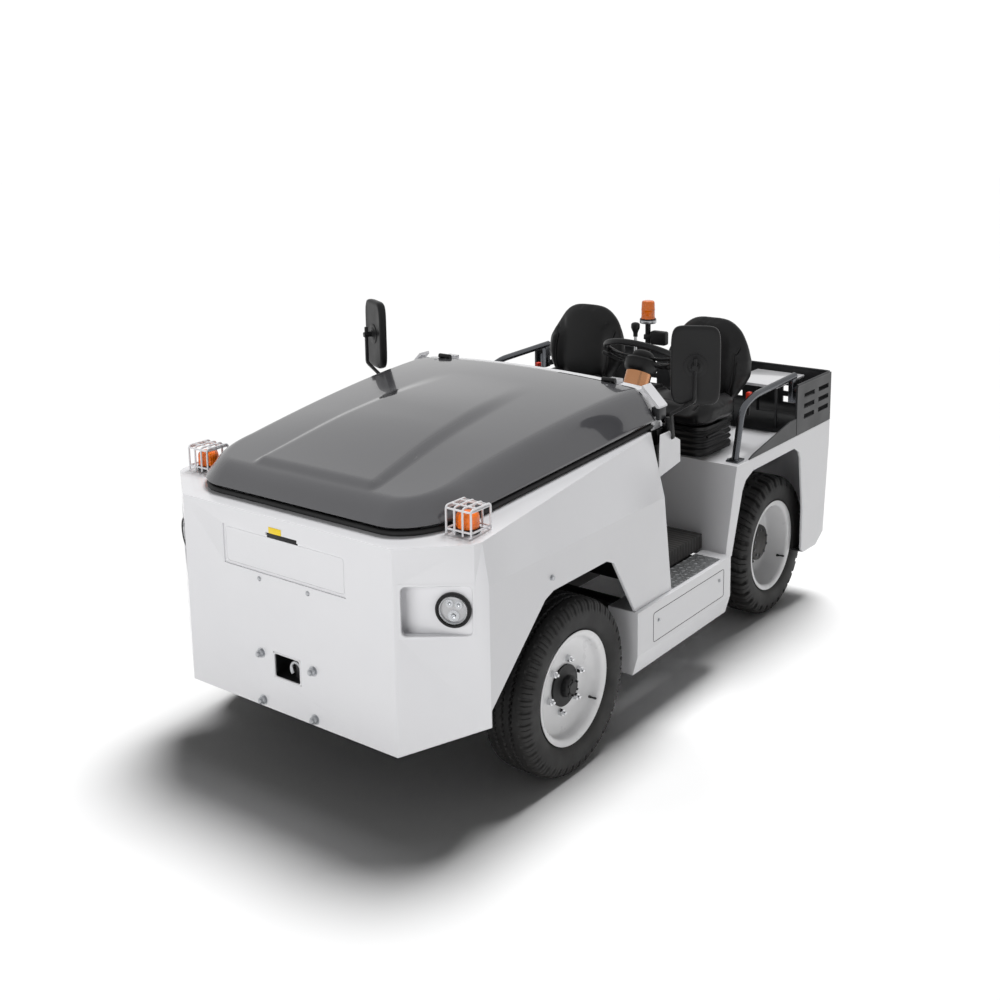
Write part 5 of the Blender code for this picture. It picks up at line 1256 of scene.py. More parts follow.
        section = np.stack([outline(0.0035, 0.004, -0.0006), outline(-0.0040, 0.020, -0.0006),
                            outline(-0.0065, 0.020, 0.0025), outline(-0.0070, 0.020, 0.0200),
                            outline(-0.0010, 0.002, 0.0200), outline(-0.0005, 0.002, 0.0040)])
        Pile().grid(section[:-1], wrap_u=False, caps=False).grid(
            np.stack([section[4], section[5], section[0]]), caps=False).build(
            "headlamp_pocket_edge_" + side, WHITE_ENAMEL, "tug")
        deep = self.lamp_depth - 0.0004
        wedge = [(first + 0.0005, deep - 0.001), (last - 0.0005, 0.0030), (last - 0.0005, deep),
                 (first + 0.0005, deep)]
        rows = np.stack([[corner + run * a + inwards * d + UP * z for a, d in wedge]
                         for z in (low + 0.0005, high - 0.0005)])
        Pile().grid(rows).build("headlamp_pocket_floor_" + side, WHITE_ENAMEL, "tug", sharp=20.0)

    def corner_light(self, side: str, sign: float) -> None:
        """Amber lamp with a black foot and a fluted lens, in a white wire guard bolted to the deck.

        Args:
            side: Name of the side.
            sign: Its sign along X.
        """
        x, y = self.corner_lamp[0] * sign, self.corner_lamp[1]
        spot = np.array([x, y, self.deck_at(y + 0.036) + 0.0005])
        Pile().turned([(0.0, 0.0), (0.042, 0.0), (0.042, 0.010), (0.040, 0.014), (0.0, 0.014)], spot,
                      (0, 0, 1), 48).build("corner_lamp_foot_" + side, BLACK_ABS, "tug")
        levels = np.array([(0.0, 0.0145), (0.0375, 0.0145), (0.0385, 0.018), (0.0385, 0.032),
                           (0.0375, 0.0335), (0.0375, 0.0345), (0.0385, 0.036), (0.0385, 0.050),
                           (0.036, 0.060), (0.028, 0.067), (0.012, 0.0695), (0.0, 0.070)])
        Pile().grid(fluted(levels, spot, 120, 24, 0.018)).build(
            "corner_lamp_lens_" + side, AMBER_LENS, "tug", ("corner_lamp_" + side,))
        guard = Pile()
        half, top, wire = 0.052, 0.090, 0.0038
        gy = y + 0.003
        foot = self.deck_at(gy) + wire
        slope = (self.deck_at(gy + half) - self.deck_at(gy - half)) / (2 * half)
        for shift in (-half, -half / 3, half / 3, half):
            corners = [(x + shift, gy - half, foot - slope * half), (x + shift, gy - half, foot + top),
                       (x + shift, gy + half, foot + top), (x + shift, gy + half, foot + slope * half)]
            guard.tube(rounded_path(corners, 0.014, 44), wire, 8)
        for level in (0.012, 0.082):
            loop = [(x - half, gy - half, foot + level), (x + half, gy - half, foot + level),
                    (x + half, gy + half, foot + level), (x - half, gy + half, foot + level)]
            guard.tube(rounded_path(loop, 0.010, 80, True), wire * 0.95, 8, True)
        for shift in (-0.022, 0.022):
            bar = [(x - half, gy + shift, foot + top), (x + half, gy + shift, foot + top)]
            guard.tube(rounded_path(bar, 0.002, 12), wire * 0.9, 8)
        guard.build("corner_lamp_guard_" + side, WHITE_ENAMEL, "tug")

    def deck_at(self, y: float) -> float:
        """Height of the deck at y."""
        return float(Hood().deck(np.array(y)))

    def side_fittings(self) -> None:
        """Bolts beside the arches, the step's access plate and its screws, on both sides."""
        pile, plate = Pile(), Pile()
        for _, sign in SIDES:
            pile.grid(hex_head((sign * self.side_half, -1.000, 0.800), (sign, 0, 0), 0.016, 0.007, 0.011))
            for y in (-0.30, 0.20):
                pile.grid(hex_head((sign * 0.777, y, 0.405), (sign, 0, 0), 0.010, 0.004, 0.008))
            outline = [(sign * 0.7772, y, z)
                       for y, z in ((-0.34, 0.325), (0.24, 0.325), (0.24, 0.445), (-0.34, 0.445))]
            plate.tube(rounded_path(outline, 0.010, 120, True), 0.0011, 6, True)
        pile.build("body_side_bolts", ZINC, "tug")
        plate.build("step_access_seams", CHASSIS_BLACK, "tug")

    def build(self) -> None:
        """Make every fitting of the nose."""
        self.plate_bolts()
        self.slot_and_tag()
        self.tow_pocket()
        for side, sign in SIDES:
            self.lamp_pocket(side, sign)
            self.headlamp(side, sign)
            self.corner_light(side, sign)
        self.side_fittings()


# ------------------------------------------------------------------------------------------- mirrors
@dataclass
class Mirror:
    """Rear-view mirror on a bent tube."""

    side: str
    sign: float
    centre: tuple[float, float, float] = (0.830, -0.130, 1.385)
    size: tuple[float, float, float] = (0.190, 0.036, 0.310)
    turn: float = 27.0

    def middle(self) -> Points:
        """Middle of the shell."""
        return np.array([self.sign * self.centre[0], self.centre[1], self.centre[2]])

    def turned(self) -> Points:
        """Rotation table of the mirror about the vertical."""
        return np.array(Matrix.Rotation(math.radians(self.sign * self.turn), 3, "Z"))

    def layers(self, shares: Points) -> Points:
        """Rings of a super-ellipse, laid one behind the other and turned with the mirror.

        Args:
            shares: Rows of a ring's share of the full outline and of the half thickness.

        Returns:
            Grid of rings by outline points by three.
        """
        width, thick, height = (s / 2 for s in self.size)
        flat = super_ring(full_turn(96), 2.0 / 6.0)[None] * shares[:, :1, None]
        local = np.stack([flat[..., 0] * width, np.broadcast_to(-shares[:, 1:2] * thick, flat.shape[:2]),
                          flat[..., 1] * height], axis=-1)
        return local @ self.turned().T + self.middle()

    def build(self) -> None:
        """Make the shell, a super-ellipse whose back swells, with its ball plate, and the glass."""
        shell = np.array([(0.0, 0.80), (0.30, 0.82), (0.60, 0.86), (0.86, 0.94), (0.93, 0.99), (0.985, 0.80),
                          (1.0, 0.45), (1.0, -0.10), (0.985, -0.72), (0.955, -0.92), (0.925, -0.95),
                          (0.90, -0.80), (0.0, -0.80)])
        Pile().grid(self.layers(shell)).build("mirror_%s_shell" % self.side, BLACK_ABS, "tug",
                                              ("mirror_" + self.side,), 50.0)
        glass = np.array([(0.0, -0.90), (0.6, -0.885), (0.915, -0.86), (0.915, -0.815), (0.0, -0.815)])
        Pile().grid(self.layers(glass)).build("mirror_%s_glass" % self.side, SILVERED, "tug")
        out = self.turned() @ np.array([0.0, -1.0, 0.0])
        rings = [(0.0, -0.001), (0.046, -0.001), (0.046, 0.0012), (0.043, 0.0022), (0.031, 0.0024),
                 (0.029, 0.004), (0.018, 0.0052), (0.015, 0.010), (0.0, 0.011)]
        Pile().turned(rings, self.middle() + out * self.size[1] / 2 * 0.86, out, 48).build(
            "mirror_%s_ball_plate" % self.side, BLACK_ABS, "tug")
        refined("mirror_arm_" + self.side, BLACK_ABS, 0.0)


# --------------------------------------------------------------------------------------------- seats
@dataclass
class Seat:
    """Operator's seat: a moulded cushion and back in artificial leather on a bellows base."""

    side: str
    x: float
    front_y: float = 0.365
    half: float = 0.235
    base_z: float = 0.985
    depth: float = 0.36
    thick: float = 0.110
    back_half: float = 0.215
    back_height: float = 0.425
    back_thick: float = 0.095
    lean: float = 10.0
    voxel: float = 0.008
    swell: float = 0.010

    def pad(self, outline: Points, thick: float, edge: float) -> Points:
        """Closed pad over an outline.

        Shares of the outline from its middle to its rim and back carry a super-elliptic thickness, so
        the faces are broad and the rim is round.

        Args:
            outline: Points (u, v) round the pad.
            thick: Full thickness.
            edge: Power of the section, higher for a squarer rim.

        Returns:
            Grid of shares by outline points by three: u, v and height.
        """
        phase = np.linspace(-math.pi / 2, math.pi / 2, 33)
        share = np.abs(np.cos(phase)) ** (2 / edge)
        rise = np.sign(np.sin(phase)) * np.abs(np.sin(phase)) ** (2 / edge) * thick / 2
        flat = outline[None] * share[:, None, None]
        return np.concatenate([flat, np.broadcast_to(rise[:, None, None], (*flat.shape[:2], 1))], axis=-1)

    def cushion_grid(self) -> Points:
        """Cushion: a rounded rectangle with raised side rolls, a sunk middle and a rolled front lip."""
        outline = super_ring(full_turn(120), 2 / 4.5) * (self.half - 0.008, self.depth / 2 - 0.006)
        grid = self.pad(outline, self.thick - 0.020, 3.6)
        x, y, z = grid[..., 0], grid[..., 1], grid[..., 2]
        top = smooth_step(z / 0.03)
        side = smooth_step((np.abs(x) - 0.115) / 0.07)
        lip = smooth_step((-y - self.depth / 2 + 0.11) / 0.09)
        lifted = z + top * (0.018 * side - 0.014 * (1 - side) * (1 - lip) - 0.022 * lip ** 2)
        return np.stack([x + self.x, y + self.front_y + self.depth / 2,
                         lifted + self.base_z + self.thick / 2], axis=-1)

    def back_axes(self) -> tuple[Points, Points, Points]:
        """Foot of the leaning back, with its upward and its forward direction."""
        lean = math.radians(self.lean)
        foot = np.array([self.x, self.front_y + self.depth + 0.001 + self.back_thick / 2,
                         self.base_z + 0.010])
        return (foot, np.array([0.0, math.sin(lean), math.cos(lean)]),
                np.array([0.0, -math.cos(lean), math.sin(lean)]))

    def back_outline(self, angle: Points) -> Points:
        """Outline of the back: broad wings a third of the way up, an arched top and a narrow foot."""
        h = self.back_height / 2 - 0.005
        v = np.sign(np.sin(angle)) * np.abs(np.sin(angle)) ** 0.78 * h
        t = v / h
        wide = np.interp(t, [-1.0, -0.62, -0.25, 0.10, 0.45, 0.75, 1.0],
                         [0.88, 0.93, 1.04, 1.02, 0.93, 0.84, 0.74]) * (self.back_half - 0.002)
        u = np.sign(np.cos(angle)) * np.abs(np.cos(angle)) ** 0.52 * wide
        return np.stack([u, v], axis=-1)

    def back_grid(self) -> Points:
        """Back: the outline as a pad, with side wings that come forward and a hollow between them."""
        outline = self.back_outline(full_turn(140))
        grid = self.pad(outline, self.back_thick - 0.024, 3.4)
        x, v, t = grid[..., 0], grid[..., 1], grid[..., 2]
        front = smooth_step(t / 0.02)
        wing = smooth_step((np.abs(x) - 0.105) / 0.07) * smooth_step((0.13 - v) / 0.12)
        t = t + front * (0.020 * wing - 0.012 * (1 - wing) * smooth_step((0.20 - v) / 0.2))
        t = t - 0.30 * x ** 2 * 0.6
        foot, up, fore = self.back_axes()
        middle = foot + up * self.back_height / 2
        return middle + x[..., None] * np.array([1.0, 0, 0]) + v[..., None] * up + t[..., None] * fore

    def upholster(self, name: str, grid: Points, node: str, seams: list[Points], panels: list) -> None:
        """Turn a pad into upholstery: fill it by cloth simulation, then sew its seams and pipe them.

        Args:
            name: Name of the piece.
            grid: The closed pad, a little smaller than the finished one.
            node: Model node that it stands for.
            seams: Paths that the sewn channels follow.
            panels: Further channels that get no piping.
        """
        obj = Pile().grid(grid).build(name, LEATHERETTE, "tug", (node,), 60.0)
        obj.parent = None
        refill(obj, self.voxel, self.swell)
        tree = BVHTree.FromPolygons([v.co for v in obj.data.vertices],
                                    [p.vertices for p in obj.data.polygons])
        laid, quilted = ([np.array([tree.find_nearest(Vector(p))[0] for p in seam]) for seam in group]
                         for group in (seams, panels))
        stitch(obj, laid + quilted, 0.0045, 0.0075)
        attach(obj, "tug")
        piping = Pile()
        for path in laid:
            piping.tube(rounded_path(path, 0.004, 90), 0.0022, 8)
        piping.build(name + "_piping", EPDM, "tug")

    def seams(self) -> tuple[list[Points], list[Points]]:
        """Seam lines of the cushion and of the back: the borders of the side rolls and wings."""
        y = np.linspace(self.front_y + 0.020, self.front_y + self.depth - 0.03, 40)
        cushion = []
        for sign in (-1.0, 1.0):
            x = self.x + sign * (0.128 + 0.014 * np.sin(np.linspace(0, math.pi, 40)))
            cushion.append(np.stack([x, y, np.full(40, self.base_z + self.thick + 0.02)], axis=-1))
        foot, up, fore = self.back_axes()
        back = []
        for sign in (-1.0, 1.0):
            t = np.linspace(0.0, 1.0, 44)
            across = sign * (0.112 + 0.020 * np.sin(t * math.pi) + 0.070 * smooth_step((t - 0.72) / 0.28))
            rise = 0.045 + t * 0.275
            back.append(foot + across[:, None] * np.array([1.0, 0, 0]) + rise[:, None] * up
                        + fore * 0.09)
        return cushion, back

    def base(self) -> None:
        """Make the bellows base: stacked folds whose section swells and pulls in, and its slide lever."""
        half_x, y0, y1 = 0.183, 0.420, 0.738
        z0, z1 = 0.8525, 0.9845
        ring = super_ring(full_turn(96), 2 / 6.0)
        level = np.linspace(0.0, 1.0, 61)
        fold = 1.0 - 0.045 * (0.5 + 0.5 * np.cos(level * TAU * 5))
        fold[:6], fold[-8:] = 1.0, 1.02
        flat = ring[None] * fold[:, None, None] * np.array([half_x, (y1 - y0) / 2])
        rise = np.broadcast_to((z0 + (z1 - z0) * level)[:, None, None], (*flat.shape[:2], 1))
        grid = np.concatenate([flat + np.array([self.x, (y0 + y1) / 2]), rise], axis=-1)
        Pile().grid(grid).build("seat_bellows_" + self.side, BLACK_ABS, "tug",
                                ("seat_base_" + self.side,), 50.0)
        lever = Pile()
        x = self.x + half_x + 0.012
        lever.tube(rounded_path([(x, 0.44, 0.945), (x, 0.56, 0.948), (x, 0.60, 0.935)], 0.02, 30), 0.006, 10)
        lever.build("seat_slide_lever_" + self.side, BLACK_ABS, "tug")

    def belt(self) -> None:
        """Make the belt buckle on its stalk beside the cushion, on the outer side."""
        sign = 1.0 if self.side == "left" else -1.0
        x = self.x + sign * (self.half + 0.010)
        Pile().block((x - 0.006, 0.728, 0.990), (x + 0.006, 0.744, 1.062), 0.003, 3).build(
            "belt_stalk_" + self.side, BLACK_ABS, "tug")
        Pile().block((x - 0.010, 0.722, 1.060), (x + 0.010, 0.750, 1.096), 0.004, 3).build(
            "belt_buckle_" + self.side, RED_PLASTIC, "tug")

    def build(self) -> None:
        """Make the whole seat."""
        cushion_seams, back_seams = self.seams()
        cross = [np.stack([np.linspace(self.x - 0.125, self.x + 0.125, 30), np.full(30, self.front_y + 0.105),
                           np.full(30, self.base_z + self.thick + 0.02)], axis=-1)]
        self.upholster("seat_cushion_%s_cover" % self.side, self.cushion_grid(), "seat_cushion_" + self.side,
                       cushion_seams, cross)
        self.upholster("seat_back_%s_cover" % self.side, self.back_grid(), "seat_back_" + self.side,
                       back_seams, [])
        self.base()
        self.belt()


def refill(obj: bpy.types.Object, voxel: float, cap: float) -> None:
    """Fill a closed cover: remesh it evenly, swell it with cloth pressure and hold each move to a cap.

    Args:
        obj: The cover, changed in place.
        voxel: Size of the even mesh.
        cap: Furthest that a point may move.
    """
    scene = bpy.context.scene
    even = obj.modifiers.new("even", "REMESH")
    even.mode = "VOXEL"
    even.voxel_size = voxel
    bake(obj)
    rest = coordinates(obj.data)
    cloth = obj.modifiers.new("fill", "CLOTH")
    cloth.settings.use_pressure = True
    cloth.settings.uniform_pressure_force = 4.0
    cloth.settings.effector_weights.gravity = 0.0
    cloth.settings.quality = 4
    cloth.settings.tension_stiffness = 12.0
    cloth.settings.compression_stiffness = 12.0
    cloth.settings.bending_stiffness = 2.0
    cloth.point_cache.frame_start, cloth.point_cache.frame_end = 1, 20
    for step in range(1, 21):
        scene.frame_set(step)
    bake(obj)
    scene.frame_set(1)
    moved = coordinates(obj.data) - rest
    length = np.linalg.norm(moved, axis=1, keepdims=True)
    held = rest + moved * np.minimum(1.0, cap / np.maximum(length, 1e-9))
    obj.data.vertices.foreach_set("co", held.astype(np.float32).reshape(-1))
    finer = obj.modifiers.new("finer", "SUBSURF")
    finer.levels = finer.render_levels = 1
    bake(obj)
    obj.data.shade_smooth()


def bake(obj: bpy.types.Object) -> None:
    """Apply the live modifiers of a mesh and keep its material."""
    look = obj.data.materials[0]
    bpy.context.view_layer.update()
    graph = bpy.context.evaluated_depsgraph_get()
    mesh = bpy.data.meshes.new_from_object(obj.evaluated_get(graph), depsgraph=graph)
    obj.modifiers.clear()
    obj.data = mesh
    mesh.materials.clear()
    mesh.materials.append(look)


def coordinates(mesh: bpy.types.Mesh) -> Points:
    """All points of a mesh as rows."""
    flat = np.zeros(len(mesh.vertices) * 3, np.float32)
    mesh.vertices.foreach_get("co", flat)
    return flat.reshape(-1, 3).astype(float)


def stitch(obj: bpy.types.Object, seams: list[Points], depth: float, reach: float) -> None:
    """Pull a cover in along its seams: each point sinks by the depth times a bell of its distance.

    Args:
        obj: The cover, changed in place.
        seams: Paths on the cover.
        depth: How far the seam line sinks.
        reach: Width of the bell.
    """
    points = coordinates(obj.data)
    normals = np.zeros(len(points) * 3, np.float32)
    obj.data.vertices.foreach_get("normal", normals)
    normals = normals.reshape(-1, 3)
    sink = np.zeros(len(points))
    for seam in seams:
        fine = np.vstack([seam[:-1] * (1 - s) + seam[1:] * s for s in (0.0, 0.25, 0.5, 0.75)])
        gap = np.full(len(points), np.inf)
        for part in np.array_split(np.arange(len(points)), 8):
            gap[part] = np.sqrt(((points[part, None, :] - fine[None]) ** 2).sum(-1)).min(axis=1)
        sink = np.maximum(sink, depth * np.exp(-(gap / reach) ** 2))
    obj.data.vertices.foreach_set("co", (points - normals * sink[:, None]).astype(np.float32).reshape(-1))
    obj.data.update()


# --------------------------------------------------------------------------------- the driving place
@dataclass
class SteeringGear:
    """Steering wheel on its own turning body, and the fixed column with its stalks."""

    centre: tuple[float, float, float] = (0.385, 0.228, 1.330)
    tilt: float = 28.0
    radius: float = 0.165
    rim_r: float = 0.0135
    column_r: float = 0.038

    def axes(self) -> tuple[Points, Points, Points]:
        """Two directions in the wheel's plane and its axis, as the model's spokes lie."""
        lean = math.radians(self.tilt)
        turn = Vector((0.0, math.sin(lean), math.cos(lean))).to_track_quat("Z", "Y").to_matrix()
        table = np.array(turn)
        return table[:, 0], table[:, 1], table[:, 2]

    def wheel(self) -> None:
        """Make the rim, a ring whose section swells into finger grips, three flat spokes and the boss."""
        first, second, axis = self.axes()
        centre = np.array(self.centre)
        around, section = full_turn(180), full_turn(20)
        grips = 1.0 + 0.07 * np.cos(around * 36)[:, None] * np.clip(-np.cos(section - 0.6), 0, 1)[None, :]
        out = np.cos(around)[:, None] * first + np.sin(around)[:, None] * second
        radius = self.rim_r * grips
        ring = (centre + out[:, None, :] * (self.radius + radius * np.cos(section)[None, :])[..., None]
                + axis * (radius * np.sin(section)[None, :])[..., None])
        pile = Pile().grid(ring, wrap_u=True)
        along = np.linspace(0.0, 1.0, 16)
        for angle in (0.0, math.pi, 1.5 * math.pi):
            ray = math.cos(angle) * first + math.sin(angle) * second
            across = np.cross(axis, ray)
            half = 0.021 - 0.008 * np.sin(along * math.pi) - 0.004 * along
            thick = 0.0065 - 0.0015 * along
            path = (centre + ray * (0.030 + (self.radius - 0.034) * along)[:, None]
                    + axis * (-0.016 + 0.014 * along ** 2)[:, None])
            shape = np.stack([np.sign(np.cos(section)) * np.abs(np.cos(section)) ** 0.6,
                              np.sin(section)], axis=-1)
            pile.grid(path[:, None, :] + across * (half[:, None] * shape[None, :, 0])[..., None]
                      + axis * (thick[:, None] * shape[None, :, 1])[..., None])
        pile.turned([(0.0, 0.0165), (0.012, 0.0165), (0.026, 0.0140), (0.0335, 0.0100), (0.0345, 0.0085),
                     (0.0375, 0.0085), (0.043, 0.0050), (0.047, -0.004), (0.047, -0.016), (0.041, -0.028),
                     (0.039, -0.0445), (0.0, -0.0445)], centre, axis, 64)
        pile.build("steering_wheel_moulding", BLACK_ABS, "steering_wheel", ("steering_wheel",), 40.0)

    def column(self) -> None:
        """Make the bronze sleeve, the two-part black shroud below it and the control stalks."""
        refined("steering_column", BRONZE, 1.0 * MM)
        axis = self.axes()[2]
        top = np.array(self.centre) - axis * 0.045
        r = self.column_r + 0.0006
        Pile().turned([(r, -0.038), (r + 0.015, -0.038), (r + 0.0165, -0.040), (r + 0.0165, -0.186),
                       (r, -0.186)], top, axis, 72, True).build("steering_column_sleeve", BRONZE, "tug")
        Pile().turned([(r, -0.187), (r + 0.018, -0.187), (r + 0.020, -0.192), (r + 0.020, -0.215),
                       (r + 0.014, -0.225), (r + 0.018, -0.300), (r + 0.018, -0.326), (r, -0.326)],
                      top, axis, 64, True).build("steering_column_shroud", BLACK_ABS, "tug")
        Pile().turned([(r, -0.004), (0.054, -0.004), (0.056, 0.020), (0.066, 0.020), (0.071, 0.013),
                       (0.071, -0.014), (0.066, -0.030), (r + 0.017, -0.040), (r, -0.040)], top, axis, 72,
                      True).build("steering_column_bell", BLACK_ABS, "tug")
        stalks = Pile()
        for sign, reach in ((1.0, 0.115), (-1.0, 0.135)):
            root = top - axis * 0.004 + np.array([sign * 0.066, 0.0, 0.0])
            path = rounded_path([root, root + (sign * reach * 0.45, 0.004, 0.010),
                                 root + (sign * reach, 0.012, 0.034)], 0.02, 40)
            wide = 0.0045 + 0.0040 * smooth_step((np.linspace(0, 1, 40) - 0.62) / 0.18)
            wide[-3:] *= (0.96, 0.85, 0.6)
            stalks.tube(path, wide, 16)
        stalks.build("column_stalks", BLACK_ABS, "tug")

    def build(self) -> None:
        """Make wheel and column."""
        self.wheel()
        self.column()


@dataclass
class Cabin:
    """Dashboard fittings, pedals, parking lever, step plates and the plates beside the cowl."""

    dash_rear: float = -0.045
    dash_top: float = 1.115
    driver_x: float = 0.385
    lever: tuple[float, float] = (0.104, 0.630)
    sill_top: float = 0.485
    plate_x: tuple[float, float] = (0.645, 0.762)
    plate_y: tuple[float, float] = (-0.165, 0.232)

    def dash(self) -> None:
        """Make the instrument pod, its blank screen, the switch row and the key switch."""
        refined("dashboard", BLACK_ABS, 6.0 * MM, segments=3)
        x = self.driver_x
        Pile().block((x - 0.135, self.dash_rear - 0.095, self.dash_top - 0.004),
                     (x + 0.135, self.dash_rear - 0.006, self.dash_top + 0.062), 0.018, 6).build(
            "instrument_pod", BLACK_ABS, "tug")
        Pile().block((x - 0.082, self.dash_rear - 0.0075, self.dash_top + 0.006),
                     (x + 0.082, self.dash_rear - 0.0045, self.dash_top + 0.052), 0.001).build(
            "instrument_screen_blank", SCREEN_GLASS, "tug")
        switches, face = Pile(), self.dash_rear + 0.0003
        for step in range(6):
            left = -0.36 + step * 0.044
            switches.block((left, face - 0.002, 1.045), (left + 0.032, face + 0.004, 1.085), 0.002, 3)
            switches.block((left + 0.004, face + 0.003, 1.049), (left + 0.028, face + 0.007, 1.067), 0.002, 3)
        switches.turned([(0.0, 0.012), (0.013, 0.012), (0.016, 0.008), (0.017, 0.0), (0.0, 0.0)],
                        (0.180, face, 1.065), (0, 1, 0), 32)
        switches.build("dashboard_switches", BLACK_ABS, "tug")
        Pile().turned([(0.0, 0.030), (0.016, 0.030), (0.019, 0.026), (0.019, 0.020), (0.010, 0.014),
                       (0.010, 0.0), (0.0, 0.0)], (0.240, face, 1.065), (0, 1, 0), 32).build(
            "stop_button", RED_PLASTIC, "tug")

    def pedals(self) -> None:
        """Hang two pedals on bent arms: pads with cross ribs, the brake's wider than the drive's."""
        arms, pads = Pile(), Pile()
        for x, half in ((0.400, 0.045), (0.515, 0.030)):
            bent = [(x, -0.118, 0.900), (x, -0.090, 0.740), (x, -0.052, 0.668)]
            arms.tube(rounded_path(bent, 0.03, 30), 0.008, 12)
            turn = Matrix.Rotation(math.radians(52.0), 3, "X")
            pads.grid(soft_block((x, -0.045, 0.665), (half, 0.038, 0.005), 0.004, 3, turn))
            for step in range(5):
                shift = np.array(turn) @ np.array([0.0, -0.026 + step * 0.013, 0.0055])
                pads.grid(soft_block(np.array([x, -0.045, 0.665]) + shift, (half - 0.006, 0.003, 0.0018),
                                     0.0012, 2, turn))
        arms.build("pedal_arms", CHASSIS_BLACK, "tug")
        pads.build("pedal_pads", EPDM, "tug")

    def parking_lever(self) -> None:
        """Make the console with its boot, the bright stem and the pear-shaped knob."""
        x, y = self.lever
        z = 0.8503
        console = Pile().block((x - 0.050, y - 0.100, z), (x + 0.050, y + 0.080, z + 0.088), 0.010, 4)
        console.build("lever_console", BLACK_ABS, "tug", ("parking_lever",))
        folds = [(0.0, 0.086), (0.042, 0.086), (0.040, 0.092), (0.030, 0.094), (0.034, 0.100), (0.024, 0.104),
                 (0.028, 0.110), (0.018, 0.115), (0.021, 0.121), (0.011, 0.127), (0.009, 0.140), (0.0, 0.140)]
        Pile().turned(folds, (x, y, z), (0, 0, 1), 48).build("lever_boot", EPDM, "tug")
        Pile().tube(np.linspace((x, y, z + 0.120), (x, y - 0.010, 1.318), 12), 0.0072, 16).build(
            "lever_stem", CHROME, "tug")
        t = np.linspace(0.0, 1.0, 18)
        pear = 0.0105 + 0.0100 * smooth_step((t - 0.25) / 0.55)
        dome = np.linspace(0.0, math.pi / 2, 7)[1:]
        profile = np.vstack([[(0.0, 0.0)], np.stack([pear, 0.056 * t], axis=-1),
                             np.stack([0.0205 * np.cos(dome), 0.056 + 0.011 * np.sin(dome)], axis=-1)])
        Pile().turned(profile, (x, y - 0.010, 1.3145), (0, 0, 1), 40).build(
            "lever_knob", BLACK_ABS, "tug")

    def step_plates(self) -> None:
        """Lay tread plate on each step: a sheet whose bars are ellipses turned left and right in turn.

        A bar lies in each cell of the pitch. Its height is a smooth step of one minus the ellipse's
        squared radius.
        """
        pitch, long_, short, lift = 0.026, 0.0105, 0.0030, 0.0017
        x = np.linspace(*self.plate_x, 68)
        y = np.linspace(*self.plate_y, 226)
        gx, gy = np.meshgrid(x, y, indexing="ij")
        cx, cy = np.round(gx / pitch), np.round(gy / pitch)
        way = np.where((cx + cy) % 2 == 0, 1.0, -1.0)
        dx, dy = gx - cx * pitch, gy - cy * pitch
        u, v = (dx + way * dy) / math.sqrt(2), (dx - way * dy) / math.sqrt(2)
        bump = smooth_step(1.4 * (1.0 - (u / long_) ** 2 - (v / short) ** 2))
        for side, sign in SIDES:
            top = np.stack([gx * sign, gy, self.sill_top + 0.0025 + lift * bump], axis=-1)
            low = top.copy()
            low[..., 2] = self.sill_top + 0.0002
            pile = Pile().grid(top, wrap_v=False, caps=False)
            rim = np.vstack([np.stack([top[0], low[0]], 1), np.stack([top[:, -1], low[:, -1]], 1)[1:],
                             np.stack([top[-1], low[-1]], 1)[::-1][1:],
                             np.stack([top[:, 0], low[:, 0]], 1)[::-1][1:]])
            pile.grid(rim, wrap_v=False, caps=False)
            base = low[np.ix_([0, -1], [0, -1])]
            pile.grid(base, wrap_v=False, caps=False)
            pile.build("step_tread_plate_" + side, ALUMINIUM, "tug")

    def cowl_plates(self) -> None:
        """Make the blank side plate, the bracket and the latch cylinder beside the cowl, on both sides."""
        for side, sign in SIDES:
            outline = np.array([(-0.190, 0.940), (-0.015, 0.968), (-0.018, 1.059), (-0.088, 1.094),
                                (-0.100, 1.1125), (-0.1725, 1.1125), (-0.1780, 1.0200)])
            Pile().grid(plate(outline, sign * 0.704, sign * 0.700)).build(
                "cowl_side_plate_" + side, WHITE_ENAMEL, "tug", sharp=20.0)
            Pile().block(*np.sort([(sign * 0.648, -0.085, 0.955), (sign * 0.702, -0.065, 1.050)], axis=0),
                         0.003).build("cowl_plate_stay_" + side, CHASSIS_BLACK, "tug")
            corner = np.array([(0.584, 1.2845), (0.662, 1.207), (0.662, 1.200), (0.650, 1.200),
                               (0.580, 1.2745)])
            grid = np.stack([np.column_stack([sign * corner[:, 0], np.full(5, at), corner[:, 1]])
                             for at in (-0.114, -0.050)])
            Pile().grid(grid).build("cowl_corner_plate_" + side, WHITE_ENAMEL, "tug", sharp=20.0)
            Pile().block(*np.sort([(sign * 0.622, -0.108, 1.150), (sign * 0.660, -0.054, 1.2005)], axis=0),
                         0.003).build("cowl_corner_block_" + side, CHARCOAL_POWDER, "tug")
            Pile().block((sign * 0.6405 - 0.0015, -0.140, 1.112),
                         (sign * 0.6405 + 0.0015, -0.070, 1.165), 0.001).build(
                "cowl_bracket_" + side, WHITE_ENAMEL, "tug")
            latch = Pile().turned([(0.0, -0.052), (0.014, -0.052), (0.0165, -0.048), (0.0165, 0.030),
                                   (0.0145, 0.032), (0.0145, 0.038), (0.0165, 0.040), (0.0165, 0.050),
                                   (0.012, 0.054), (0.0, 0.054)],
                                  (sign * 0.6695, -0.052, 1.100), (0, 0, 1), 32)
            latch.block((sign * 0.660 - 0.018, -0.058, 1.090), (sign * 0.660 + 0.010, -0.040, 1.125), 0.003)
            latch.build("cowl_latch_" + side, BLACK_ABS, "tug")
            bolts = Pile()
            for y, z in ((-0.120, 1.128), (-0.092, 1.150)):
                bolts.grid(hex_head((sign * 0.6420, y, z), (sign, 0, 0), 0.010, 0.004))
            bolts.build("cowl_bracket_bolts_" + side, ZINC, "tug")

